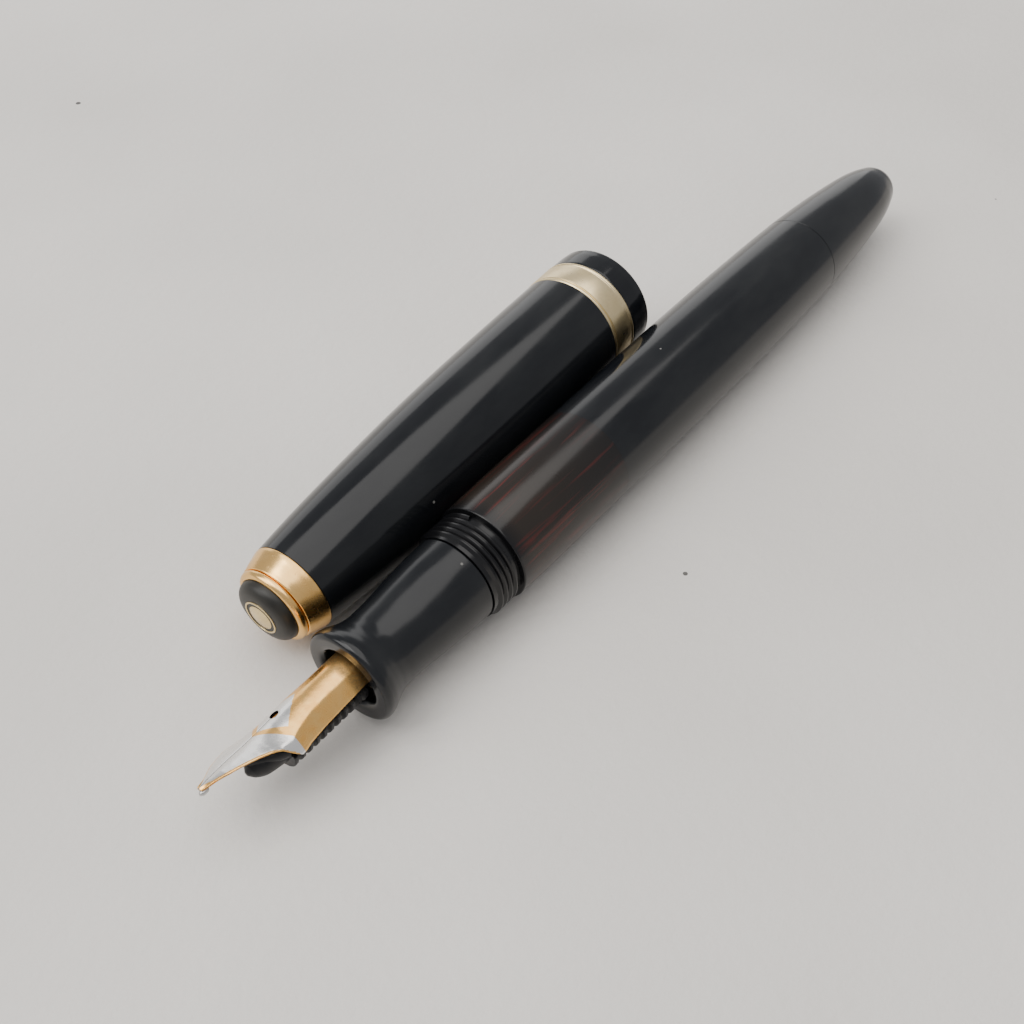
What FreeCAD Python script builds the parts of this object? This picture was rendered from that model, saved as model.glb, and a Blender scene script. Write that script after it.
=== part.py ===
import FreeCAD, Part
import math
import os
import Sketcher

# Piston-filling fountain pen, uncapped, lying on its barrel with the cap beside it on +Y.
# X runs along the pen from the nib (-X) to the turning knob (+X), Z is up and z = 0 is the table.
# Each pen piece is drawn about the pen's axis, x counted from the tip of the nib.
# Each cap piece is drawn about the cap's axis, x counted from the crown to the mouth.

SIZES = {
    # the whole pen
    "pen_length": 123.4,
    "pen_side": 7.41,
    "run_gap": 0.05,
    "seat_gap": 0.02,
    # grip section
    "lip_front": 17.5,
    "lip_radius": 5.35,
    "lip_edge": 0.55,
    "opening_radius": 3.35,
    "opening_depth": 2.4,
    "waist_front": 4.6,
    "waist_radius": 4.3,
    "grip_middle": 11.0,
    "grip_radius": 4.75,
    "section_rear": 33.3,
    "section_radius": 5.02,
    "tenon_length": 6.0,
    "tenon_radius": 4.2,
    "nib_bore": 3.0,
    # nib, tipping and feed
    "nib_roll": 35.0,
    "nib_sheet": 0.32,
    "nib_tail": 27.6,
    "nib_shoulder": 8.6,
    "collar_front": 19.4,
    "collar_length": 10.5,
    "collar_wall": 0.2,
    "pellet_radius": 0.42,
    "pellet_height": 1.62,
    "hole_place": 9.6,
    "hole_radius": 0.42,
    "slit_width": 0.12,
    "feed_front": 4.4,
    "feed_radius": 1.85,
    "feed_shank": 1.8,
    "comb_radius": 2.65,
    "comb_top": 1.15,
    "comb_front": 8.2,
    "comb_pitch": 0.92,
    "comb_slot": 0.42,
    "comb_count": 11,
    "comb_depth": 1.2,
    # ink window with the cap's thread, and the barrel
    "thread_rear": 37.4,
    "thread_crest": 5.5,
    "thread_depth": 0.38,
    "thread_pitch": 0.75,
    "window_rear": 55.0,
    "window_radius": 5.97,
    "window_tenon": 5.0,
    "tenon_outer": 5.2,
    "shoulder_radius": 5.75,
    "ink_bore": 4.6,
    "widest": 75.0,
    "barrel_radius": 6.04,
    "seam": 100.6,
    "seam_radius": 5.6,
    # filling mechanism
    "tail_bore": 4.85,
    "guide_front": 85.5,
    "guide_length": 4.5,
    "guide_wall": 0.9,
    "spigot_radius": 4.1,
    "spigot_length": 7.0,
    "rod_radius": 2.2,
    "rod_flat": 1.8,
    "rod_bore": 1.58,
    "rod_front": 85.1,
    "rod_length": 30.6,
    "nut_length": 4.5,
    "nut_radius": 3.9,
    "spindle_radius": 1.5,
    "spindle_core": 1.15,
    "spindle_pitch": 1.6,
    "spindle_lead": 6.4,
    "seal_front": 81.2,
    "seal_length": 3.0,
    "hub_radius": 2.1,
    "stud_radius": 1.2,
    "core_radius": 4.2,
    "clip_groove": 4.6,
    "clip_thick": 0.5,
    "clip_radius": 4.32,
    "washer_thick": 0.3,
    # turning knob
    "knob_cheek": 107.5,
    "cheek_radius": 5.16,
    "knob_cone": 116.5,
    "cone_radius": 4.22,
    "knob_round": 121.2,
    "round_radius": 3.1,
    "knob_seat": 116.0,
    "seat_length": 4.2,
    "seat_radius": 1.9,
    "seam_gap": 0.06,
    # cap, from the crown at 0 to the mouth
    "cap_length": 61.1,
    "cap_yaw": 2.24,
    "cap_tilt": 1.0,
    "cap_crown": 16.5,
    "cap_side": 11.625,
    "cap_height": 6.25,
    "mouth_radius": 6.83,
    "mouth_bore": 5.88,
    "mouth_depth": 1.4,
    "mouth_edge": 0.42,
    "cap_thread_length": 4.0,
    "cap_minor": 5.42,
    "cap_bore": 5.62,
    "band_from_mouth": 3.5,
    "band_width": 4.0,
    "band_radius": 6.96,
    "band_seat": 6.7,
    "band_bead": 0.45,
    "cap_widest": 46.0,
    "cap_radius": 6.92,
    "cap_turn": 27.0,
    "turn_radius": 6.62,
    "cap_cone": 18.0,
    "cap_cone_radius": 6.15,
    "crown_rear": 5.5,
    "crown_radius": 5.18,
    "ring_front": 3.0,
    "ring_front_radius": 4.55,
    "bezel_front": 2.1,
    "bezel_radius": 4.4,
    "ring_bore": 3.2,
    "dome_rim": 3.75,
    "emblem_face": 0.75,
    "emblem_radius": 2.02,
    "emblem_wall": 0.22,
    "badge_radius": 1.45,
    "badge_rise": 0.27,
    "end_wall": 2.6,
    "stem_radius": 1.9,
    "stem_bore": 1.05,
    "liner_rim": 40.0,
    "liner_radius": 4.42,
    "liner_bore": 3.9,
    "liner_floor": 1.4,
    "screw_head": 2.5,
    "screw_head_length": 1.3,
    "screw_washer": 0.25,
}

V = FreeCAD.Vector
doc = FreeCAD.newDocument("FountainPen")


class Size:
    """A length that carries its value and the sheet formula that gives it."""

    def __init__(self, value, formula):
        self.value = float(value)
        self.formula = formula

    def join(self, other, sign, value):
        return Size(value, "(%s %s %s)" % (self.formula, sign, as_size(other).formula))

    def __add__(self, other):
        return self.join(other, "+", self.value + as_size(other).value)

    def __sub__(self, other):
        return self.join(other, "-", self.value - as_size(other).value)

    def __mul__(self, other):
        return self.join(other, "*", self.value * as_size(other).value)

    def __truediv__(self, other):
        return self.join(other, "/", self.value / as_size(other).value)

    def __neg__(self):
        return Size(-self.value, "(0 - %s)" % self.formula)


def as_size(value):
    """Turn a plain number into a Size."""
    return value if isinstance(value, Size) else Size(value, repr(float(value)))


def other_leg(slant, leg):
    """The third side of a right triangle."""
    value = math.sqrt(slant.value ** 2 - leg.value ** 2)
    return Size(value, "sqrt((%s)^2 - (%s)^2)" % (slant.formula, leg.formula))


def dome_rise(radius, height):
    """How far a round dome's half outline rises from its chord."""
    ball = (radius * radius + height * height) / (height * 2.0)
    inner = ball * ball - ball * height / 2.0
    return ball - Size(math.sqrt(inner.value), "sqrt(%s)" % inner.formula)


def write_sheet():
    """Put every driving size in the spreadsheet, one row each."""
    sheet = doc.addObject("Spreadsheet::Sheet", "Sizes")
    for row, (name, value) in enumerate(SIZES.items(), 1):
        sheet.set("A%d" % row, name)
        sheet.set("B%d" % row, str(value))
        sheet.setAlias("B%d" % row, name)
    doc.recompute()
    return {name: Size(value, "Sizes." + name) for name, value in SIZES.items()}


z = write_sheet()


def turn_about(angle, axis):
    return FreeCAD.Rotation(axis, angle)


# where the pen's pieces and the cap's pieces lie
PEN = FreeCAD.Placement(
    V(-SIZES["pen_length"] / 2, -SIZES["pen_side"], SIZES["barrel_radius"]), FreeCAD.Rotation()
)
NIB = PEN.multiply(FreeCAD.Placement(V(), turn_about(-SIZES["nib_roll"], V(1, 0, 0))))
CAP = FreeCAD.Placement(
    V(
        SIZES["cap_crown"] - SIZES["pen_length"] / 2,
        SIZES["cap_side"] - SIZES["pen_side"],
        SIZES["cap_height"],
    ),
    turn_about(SIZES["cap_yaw"], V(0, 0, 1)).multiply(turn_about(-SIZES["cap_tilt"], V(0, 1, 0))),
)
pieces = []


# ---------------------------------------------------------------- sketches
def new_body(name, place):
    body = doc.addObject("PartDesign::Body", name)
    body.Label = name
    body.Placement = place
    pieces.append(body)
    return body


def new_sketch(body, name, plane="XY_Plane", offset=None):
    """A sketch on one of the body's origin planes, moved off it where offset is given."""
    sketch = body.newObject("Sketcher::SketchObject", name)
    face = [f for f in body.Origin.OriginFeatures if f.Role == plane][0]
    sketch.AttachmentSupport = (face, [""])
    sketch.MapMode = "FlatFace"
    if offset is not None:
        sketch.setExpression(".AttachmentOffset.Base.z", as_size(offset).formula)
        sketch.AttachmentOffset = FreeCAD.Placement(V(0, 0, as_size(offset).value), FreeCAD.Rotation())
    return sketch


def arc_between(start, end, heading):
    """The circle arc from start to end that leaves start along heading: its centre and side."""
    chord = end - start
    side = heading.x * chord.y - heading.y * chord.x
    normal = V(-heading.y, heading.x, 0) * (1 if side > 0 else -1)
    radius = chord.Length ** 2 / (2 * abs(chord.dot(normal)))
    return start + normal * radius, side > 0


def outline(sketch, path):
    """Draw a closed outline whose corners are bound to the sheet.

    Each entry of path is (x, r) for a straight side that ends there, (x, r, rise) for an arc
    that rises by that much from its chord, or (x, r, "smooth") for an arc that runs on from the
    side before it without a kink.
    """
    ends = [V(as_size(p[0]).value, as_size(p[1]).value, 0) for p in path]
    flipped = []
    heading = None
    for i, point in enumerate(path):
        start = ends[i - 1]
        end = ends[i]
        kind = point[2] if len(point) > 2 else None
        chord = end - start
        if kind is None:
            sketch.addGeometry(Part.LineSegment(start, end))
            flipped.append(False)
            heading = chord.normalize()
            continue
        if kind != "smooth":
            rise = as_size(kind).value
            lean = 2 * math.atan2(2 * rise, chord.Length)
            heading = turn_about(math.degrees(lean), V(0, 0, 1)).multVec(chord)
            heading.normalize()
        centre, left = arc_between(start, end, heading)
        radius = (start - centre).Length
        first, last = (start, end) if left else (end, start)
        low = math.atan2(first.y - centre.y, first.x - centre.x)
        high = math.atan2(last.y - centre.y, last.x - centre.x)
        high += 2 * math.pi if high < low else 0
        circle = Part.Circle(centre, V(0, 0, 1), radius)
        sketch.addGeometry(Part.ArcOfCircle(circle, low, high))
        flipped.append(not left)
        spoke = end - centre
        heading = V(-spoke.y, spoke.x, 0) * (1 if left else -1)
        heading.normalize()
    count = len(path)
    for i, point in enumerate(path):
        before = i
        after = (i + 1) % count
        tail = 1 if flipped[before] else 2
        head = 2 if flipped[after] else 1
        following = path[after]
        if len(following) > 2 and following[2] == "smooth":
            sketch.addConstraint(Sketcher.Constraint("Tangent", before, tail, after, head))
        else:
            sketch.addConstraint(Sketcher.Constraint("Coincident", before, tail, after, head))
        for axis, kind, size in ((0, "DistanceX", point[0]), (1, "DistanceY", point[1])):
            size = as_size(size)
            label = "%s%d" % ("xr"[axis], i)
            if abs(size.value) < 1e-9 and axis == 1:
                sketch.addConstraint(Sketcher.Constraint("PointOnObject", before, tail, -1))
                continue
            index = sketch.addConstraint(
                Sketcher.Constraint(kind, -1, 1, before, tail, size.value)
            )
            sketch.renameConstraint(index, label)
            sketch.setExpression("Constraints." + label, size.formula)
    for i, point in enumerate(path):
        if len(point) > 2 and point[2] != "smooth":
            rise = as_size(point[2])
            before = path[i - 1]
            along = as_size(point[0]) - before[0]
            across = as_size(point[1]) - before[1]
            chord = "((%s)^2 + (%s)^2)" % (along.formula, across.formula)
            formula = "%s / (8 * abs(%s)) + abs(%s) / 2" % (chord, rise.formula, rise.formula)
            circle = sketch.Geometry[i]
            index = sketch.addConstraint(Sketcher.Constraint("Radius", i, circle.Radius))
            sketch.renameConstraint(index, "bend%d" % i)
            sketch.setExpression("Constraints.bend%d" % i, formula)
    return sketch


def turned(name, place, path):
    """A piece turned on a lathe: its half outline swept once round the x axis."""
    body = new_body(name, place)
    sketch = outline(new_sketch(body, name + "_outline"), path)
    solid = body.newObject("PartDesign::Revolution", name + "_turned")
    solid.Profile = sketch
    solid.ReferenceAxis = (sketch, ["H_Axis"])
    solid.Angle = 360
    doc.recompute()
    return body


def pocket(body, name, sketch, reach, midplane=True, flip=False):
    """Cut a sketch right through a body along its normal."""
    before = body.Shape.Volume
    cut = body.newObject("PartDesign::Pocket", name)
    cut.Profile = sketch
    cut.Midplane = midplane
    cut.Reversed = flip
    cut.setExpression("Length", as_size(reach).formula)
    doc.recompute()
    check_cut(body, name, before)
    return cut


def check_cut(body, name, before):
    if not body.Shape.Volume < before - 1e-4:
        raise RuntimeError("%s takes nothing off %s" % (name, body.Label))


def thread(body, name, start, length, mouth, root, width, lead, starts=1):
    """Cut a V thread along the x axis; mouth and root are the radii of its groove."""
    before = body.Shape.Volume
    past = 0.08 if mouth.value > root.value else -0.08
    tooth = outline(new_sketch(body, name + "_tooth"), [
        (start - width * 0.42, mouth + past),
        (start - width * 0.08, root),
        (start + width * 0.08, root),
        (start + width * 0.42, mouth + past),
    ])
    cut = body.newObject("PartDesign::SubtractiveHelix", name)
    cut.Profile = tooth
    cut.ReferenceAxis = (tooth, ["H_Axis"])
    cut.Mode = 0
    cut.setExpression("Pitch", as_size(lead).formula)
    cut.setExpression("Height", as_size(length).formula)
    doc.recompute()
    if starts > 1:
        pattern = body.newObject("PartDesign::PolarPattern", name + "_starts")
        pattern.Originals = [cut]
        pattern.Axis = (tooth, ["H_Axis"])
        pattern.Angle = 360
        pattern.Occurrences = starts
        body.Tip = pattern
        doc.recompute()
    check_cut(body, name, before)


# ---------------------------------------------------------------- grip section
def make_section():
    """Black grip turned from one rod: flared lip, hollow waist, and a tenon into the window."""
    tenon_end = z["section_rear"] + z["tenon_length"]
    front = z["lip_front"]
    turned("section", PEN, [
        (front + z["lip_edge"], z["lip_radius"], 0.16),
        (front + 1.5, z["lip_radius"] - 0.12, 0.05),
        (front + z["waist_front"], z["waist_radius"], -0.12),
        (front + z["grip_middle"], z["grip_radius"], -0.03),
        (z["section_rear"] - 0.15, z["section_radius"]),
        (z["section_rear"], z["section_radius"] - 0.15),
        (z["section_rear"], z["tenon_radius"]),
        (tenon_end, z["tenon_radius"]),
        (tenon_end, z["nib_bore"]),
        (front + z["opening_depth"], z["nib_bore"]),
        (front + z["opening_depth"], z["opening_radius"] - 0.15),
        (front + 0.7, z["opening_radius"] - 0.1),
        (front, z["opening_radius"] + 0.45, 0.1),
        (front, z["lip_radius"] - z["lip_edge"]),
    ])


# ---------------------------------------------------------------- nib unit
def nib_ring(half_width, edge, bend_side, bend_up, flat, crown):
    """One cross-section of the nib's sheet, as (side, up) corners: edges, bends and a flat top."""
    sheet = SIZES["nib_sheet"]
    outer = [(half_width, edge), (bend_side, bend_up), (flat, crown)]
    inner = [
        (half_width - sheet, edge),
        (bend_side - sheet * 0.7, bend_up - sheet * 0.6),
        (flat - sheet * 0.1, crown - sheet),
    ]
    far_outer = [(-side, up) for side, up in reversed(outer)]
    far_inner = [(-side, up) for side, up in inner]
    return outer + far_outer + far_inner + inner[::-1]


def make_nib():
    """Two-tone nib pressed from sheet: a low ridge, wide shoulders bent down, long tines."""
    shoulder = z["nib_shoulder"]
    stations = [
        (z["nib_tail"], (2.5, -0.2, 2.1, 1.45, 0.35, 2.62)),
        (z["lip_front"], (2.62, -0.4, 2.2, 1.5, 0.35, 2.7)),
        (shoulder + 3.4, (2.82, -0.57, 2.42, 1.46, 0.4, 2.66)),
        (shoulder, (3.4, -0.76, 3.14, 0.86, 0.6, 2.45)),
        (shoulder * 0.85, (3.36, 0.82, 3.14, 1.18, 0.7, 2.38)),
        (shoulder * 0.64, (3.02, 1.74, 2.7, 1.9, 0.7, 2.34)),
        (shoulder * 0.3, (1.75, 2.05, 1.45, 2.2, 0.4, 2.34)),
        (as_size(0.25), (0.36, 1.95, 0.28, 2.06, 0.14, 2.16)),
    ]
    body = new_body("nib", NIB)
    rings = []
    for number, (place, corners) in enumerate(stations):
        sketch = new_sketch(body, "nib_station_%d" % number, "YZ_Plane", place)
        rings.append(outline(sketch, nib_ring(*corners)))
    loft = body.newObject("PartDesign::AdditiveLoft", "nib_sheet")
    loft.Profile = rings[0]
    loft.Sections = rings[1:]
    loft.Ruled = True
    doc.recompute()
    breather = new_sketch(body, "breather_hole")
    breather.addGeometry(Part.Circle(V(z["hole_place"].value, 0, 0), V(0, 0, 1), 0.4))
    index = breather.addConstraint(Sketcher.Constraint("Radius", 0, z["hole_radius"].value))
    breather.setExpression("Constraints[%d]" % index, z["hole_radius"].formula)
    pocket(body, "breather", breather, 8.0)
    slit = outline(new_sketch(body, "slit_outline"), [
        (-1.0, z["slit_width"] / 2),
        (-1.0, -z["slit_width"] / 2),
        (z["hole_place"], -z["slit_width"] / 2),
        (z["hole_place"], z["slit_width"] / 2),
    ])
    pocket(body, "slit", slit, 8.0)


def make_nib_tip():
    """The hard pellet welded under the end of the tines."""
    pellet = doc.addObject("Part::Ellipsoid", "nib_tip")
    pellet.Label = "nib_tip"
    pellet.setExpression("Radius1", (z["pellet_radius"] * 0.75).formula)
    pellet.setExpression("Radius2", (z["pellet_radius"] * 1.25).formula)
    pellet.setExpression("Radius3", (z["pellet_radius"] * 0.9).formula)
    place = V(SIZES["pellet_radius"] * 1.25, 0, SIZES["pellet_height"])
    pellet.Placement = NIB.multiply(FreeCAD.Placement(place, FreeCAD.Rotation()))
    pieces.append(pellet)


def make_feed():
    """Black feed: a round core under the nib, with a comb below it and a wedge to the tip."""
    shank_end = z["collar_front"] + z["collar_length"] + 3.0
    feed = z["feed_radius"]
    comb = z["comb_radius"]
    comb_front = z["comb_front"]
    comb_rear = comb_front + z["comb_pitch"] * z["comb_count"]
    body = turned("feed", NIB, [
        (z["feed_front"], 0.0),
        (z["feed_front"] + 0.3, feed * 0.5),
        (comb_front - 0.6, comb - 0.4, 0.12),
        (comb_front + 1.2, comb),
        (comb_rear, comb),
        (comb_rear + 0.4, z["feed_shank"]),
        (shank_end, z["feed_shank"]),
        (shank_end, 0.0),
    ])
    # above the comb only the core is left, so that the nib's sides can reach down over it
    top = -z["comb_top"]
    sides = outline(new_sketch(body, "side_outline", "YZ_Plane", shank_end * 0.5), [
        (-3.2, top),
        (feed * -0.76, top),
        (feed * -0.98, 0.0),
        (feed * -0.7, feed * 0.7),
        (0.0, feed * 0.96),
        (feed * 0.7, feed * 0.7),
        (feed * 0.98, 0.0),
        (feed * 0.76, top),
        (3.2, top),
        (3.2, 3.2),
        (-3.2, 3.2),
    ])
    pocket(body, "sides", sides, shank_end * 2)
    under = outline(new_sketch(body, "under_outline", "XZ_Plane"), [
        (z["feed_front"] - 1.0, 0.95),
        (z["feed_front"] - 1.0, -3.2),
        (comb_front - 0.3, -3.2),
        (comb_front - 0.3, -2.0, -0.35),
    ])
    pocket(body, "under_wedge", under, 12.0)
    slot = outline(new_sketch(body, "slot_outline", "XZ_Plane"), [
        (comb_front, -3.2),
        (comb_front + z["comb_slot"], -3.2),
        (comb_front + z["comb_slot"], z["comb_depth"] - comb),
        (comb_front, z["comb_depth"] - comb),
    ])
    first = pocket(body, "comb_slot", slot, 12.0)
    before = body.Shape.Volume
    fins = body.newObject("PartDesign::LinearPattern", "comb")
    fins.Originals = [first]
    fins.Direction = (slot, ["H_Axis"])
    fins.setExpression("Length", (z["comb_pitch"] * (z["comb_count"] - 1)).formula)
    fins.setExpression("Occurrences", z["comb_count"].formula)
    body.Tip = fins
    doc.recompute()
    check_cut(body, "comb", before)


def make_nib_collar():
    """Sleeve that grips nib and feed together and is pressed into the section."""
    rear = z["collar_front"] + z["collar_length"]
    outer = z["nib_bore"] - z["seat_gap"]
    turned("nib_collar", PEN, [
        (rear, outer),
        (rear, outer - z["collar_wall"]),
        (z["collar_front"], outer - z["collar_wall"]),
        (z["collar_front"], outer - 0.1),
        (z["collar_front"] + 0.1, outer),
    ])


# ---------------------------------------------------------------- ink window and barrel
def make_ink_window():
    """Clear striped tube: the cap's thread, the ink window, and a tenon inside the barrel."""
    front = z["section_rear"]
    thread_end = z["thread_rear"]
    tenon_end = z["window_rear"] + z["window_tenon"]
    socket = z["tenon_radius"] + z["seat_gap"]
    body = turned("ink_window", PEN, [
        (front, socket),
        (front, z["thread_crest"] - z["thread_depth"]),
        (front + 0.4, z["thread_crest"]),
        (thread_end, z["thread_crest"]),
        (thread_end, z["shoulder_radius"] - 0.15),
        (thread_end + 0.15, z["shoulder_radius"]),
        (z["window_rear"], z["window_radius"], 0.04),
        (z["window_rear"], z["tenon_outer"]),
        (tenon_end, z["tenon_outer"]),
        (tenon_end, z["ink_bore"]),
        (front + z["tenon_length"] + 0.5, z["ink_bore"]),
        (front + z["tenon_length"] + 0.1, socket),
    ])
    thread(
        body, "cap_thread", front - z["thread_pitch"] * 0.5, thread_end - front,
        z["thread_crest"], z["thread_crest"] - z["thread_depth"],
        z["thread_pitch"], z["thread_pitch"],
    )


def make_barrel():
    """Black barrel tube, fullest behind its middle, with a socket at each end."""
    front = z["window_rear"]
    socket_end = front + z["window_tenon"] + 0.1
    socket = z["tenon_outer"] + z["seat_gap"]
    rear_socket = z["guide_front"]
    rear_bore = z["tail_bore"]
    turned("barrel", PEN, [
        (front, socket),
        (front, z["window_radius"]),
        (z["widest"], z["barrel_radius"], 0.02),
        (z["seam"], z["seam_radius"], 0.1),
        (z["seam"], rear_bore),
        (rear_socket, rear_bore),
        (rear_socket, z["ink_bore"]),
        (socket_end, z["ink_bore"]),
        (socket_end, socket),
    ])


# ---------------------------------------------------------------- filling mechanism
def make_piston_guide():
    """Sleeve fixed in the barrel's tail: a keyed hole for the rod and a spigot for the knob."""
    front = z["guide_front"]
    key_end = front + z["guide_length"]
    seat = z["tail_bore"] - z["seat_gap"]
    spigot_end = z["seam"] + z["spigot_length"]
    clip = z["seam"] + z["clip_groove"]
    groove = z["spigot_radius"] - 0.3
    inner = z["spigot_radius"] - z["guide_wall"]
    flat = z["rod_flat"] + z["run_gap"]
    body = turned("piston_guide", PEN, [
        (front, flat),
        (front, seat),
        (z["seam"], seat),
        (z["seam"], z["spigot_radius"]),
        (clip, z["spigot_radius"]),
        (clip, groove),
        (clip + z["clip_thick"], groove),
        (clip + z["clip_thick"], z["spigot_radius"]),
        (spigot_end, z["spigot_radius"]),
        (spigot_end, inner),
        (key_end, inner),
        (key_end, flat),
    ])
    # the hole is wider at its two sides, where the rod is round
    side = other_leg(z["rod_radius"] + z["run_gap"], flat)
    bulge = z["rod_radius"] + z["run_gap"] - side
    key = outline(new_sketch(body, "key_outline", "YZ_Plane", front - 1.0), [
        (side, -flat),
        (side, flat, -bulge),
        (-side, flat),
        (-side, -flat, -bulge),
    ])
    pocket(body, "key_hole", key, z["guide_length"] + 1.0, midplane=False, flip=True)


def make_retaining_ring():
    """Open spring ring in the spigot's groove that keeps the knob on."""
    front = z["seam"] + z["clip_groove"]
    body = turned("retaining_ring", PEN, [
        (front + 0.02, z["spigot_radius"] - 0.28),
        (front + 0.02, z["clip_radius"]),
        (front + z["clip_thick"] - 0.02, z["clip_radius"]),
        (front + z["clip_thick"] - 0.02, z["spigot_radius"] - 0.28),
    ])
    gap = outline(new_sketch(body, "gap_outline"), [
        (front - 1.0, 1.0),
        (front + 2.0, 1.0),
        (front + 2.0, -1.0),
        (front - 1.0, -1.0),
    ])
    pocket(body, "ring_gap", gap, 6.0, midplane=False)


def make_piston():
    """Rod with two flats, and the head on its stud: core, seal and nut."""
    stud = z["stud_radius"]
    front = z["rod_front"]
    rear = front + z["rod_length"]
    seal_end = z["seal_front"] + z["seal_length"]
    body = turned("piston_rod", PEN, [
        (z["seal_front"] - 0.9, 0.0),
        (z["seal_front"] - 0.9, stud),
        (front, stud),
        (front, z["rod_radius"]),
        (rear, z["rod_radius"]),
        (rear, z["rod_bore"]),
        (front + 0.5, z["rod_bore"]),
        (front + 0.5, 0.0),
    ])
    for name, low, high in (
        ("top_flat", z["rod_flat"], z["rod_radius"] + 1.0),
        ("under_flat", -z["rod_radius"] - 1.0, -z["rod_flat"]),
    ):
        sketch = outline(new_sketch(body, name + "_outline", "XZ_Plane"), [
            (front, low),
            (rear + 1.0, low),
            (rear + 1.0, high),
            (front, high),
        ])
        pocket(body, name, sketch, 8.0)
    thread(
        body, "nut_thread", rear - z["nut_length"], z["nut_length"] * 0.8,
        z["rod_bore"], z["rod_bore"] + 0.16, z["spindle_pitch"], z["spindle_lead"],
    )
    turned("piston_core", PEN, [
        (z["seal_front"] + 0.1, stud + z["seat_gap"]),
        (z["seal_front"] + 0.1, z["hub_radius"]),
        (seal_end, z["hub_radius"]),
        (seal_end, z["core_radius"] - 0.15),
        (seal_end + 0.15, z["core_radius"]),
        (front - 0.15, z["core_radius"]),
        (front, z["core_radius"] - 0.15),
        (front, stud + z["seat_gap"]),
    ])
    lip = z["ink_bore"] - z["run_gap"]
    turned("piston_seal", PEN, [
        (z["seal_front"], z["hub_radius"] + z["seat_gap"]),
        (z["seal_front"], lip - 0.2),
        (z["seal_front"] + 0.3, lip),
        (z["seal_front"] + 0.9, lip, 0.05),
        (z["seal_front"] + 1.2, lip - 0.35),
        (seal_end - 1.2, lip - 0.35),
        (seal_end - 0.9, lip),
        (seal_end - 0.3, lip, 0.05),
        (seal_end, lip - 0.2),
        (seal_end, z["hub_radius"] + z["seat_gap"]),
    ])
    turned("piston_nut", PEN, [
        (z["seal_front"] - 1.3, stud + 0.5),
        (z["seal_front"] - 0.8, z["nut_radius"], 0.15),
        (z["seal_front"] - 0.02, z["nut_radius"]),
        (z["seal_front"] - 0.02, stud + z["seat_gap"]),
        (z["seal_front"] - 1.3, stud + z["seat_gap"]),
    ])


def make_spindle():
    """Drive screw with a coarse four-start thread, pressed into the knob."""
    front = z["rod_front"] + 0.9
    crest = z["spindle_radius"]
    shank = z["knob_seat"] - 1.0
    tail = z["knob_seat"] + z["seat_length"]
    body = turned("drive_spindle", PEN, [
        (front, 0.0),
        (front, crest - 0.4),
        (front + 0.4, crest),
        (shank, crest),
        (z["knob_seat"] + z["seat_gap"], crest),
        (z["knob_seat"] + z["seat_gap"], z["seat_radius"]),
        (tail - 0.2, z["seat_radius"]),
        (tail - 0.2, 0.0),
    ])
    thread(
        body, "coarse_thread", front - z["spindle_lead"] * 0.5, shank - front,
        crest, z["spindle_core"], z["spindle_pitch"], z["spindle_lead"], 4,
    )


def make_turning_knob():
    """Black bullet-shaped tail: a cup that turns on the guide's spigot and holds the spindle."""
    front = z["seam"] + z["seam_gap"]
    spigot = z["spigot_radius"] + z["run_gap"]
    clip = z["seam"] + z["clip_groove"]
    slot = z["clip_radius"] + z["run_gap"]
    cup_end = z["seam"] + z["spigot_length"] + z["washer_thick"] + 0.1
    passage = z["rod_radius"] + z["run_gap"] * 2
    tail = z["knob_seat"] + z["seat_length"]
    seat = z["seat_radius"] + z["seat_gap"]
    length = z["pen_length"]
    turned("turning_knob", PEN, [
        (tail, 0.0),
        (length, 0.0),
        (z["knob_round"], z["round_radius"], -dome_rise(z["round_radius"], length - z["knob_round"])),
        (z["knob_cone"], z["cone_radius"], "smooth"),
        (z["knob_cheek"], z["cheek_radius"], "smooth"),
        (front + 0.08, z["seam_radius"], "smooth"),
        (front, z["seam_radius"] - 0.08),
        (front, spigot),
        (clip - 0.15, spigot),
        (clip - 0.15, slot),
        (clip + z["clip_thick"] + 0.15, slot),
        (clip + z["clip_thick"] + 0.15, spigot),
        (cup_end, spigot),
        (cup_end, passage),
        (z["knob_seat"], passage),
        (z["knob_seat"], seat),
        (tail, seat),
    ])


def make_thrust_washer():
    """Thin washer between the end of the spigot and the floor of the knob's cup."""
    front = z["seam"] + z["spigot_length"] + 0.07
    turned("thrust_washer", PEN, [
        (front, z["rod_radius"] + z["run_gap"] * 2),
        (front, z["spigot_radius"] - 0.1),
        (front + z["washer_thick"], z["spigot_radius"] - 0.1),
        (front + z["washer_thick"], z["rod_radius"] + z["run_gap"] * 2),
    ])


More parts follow.
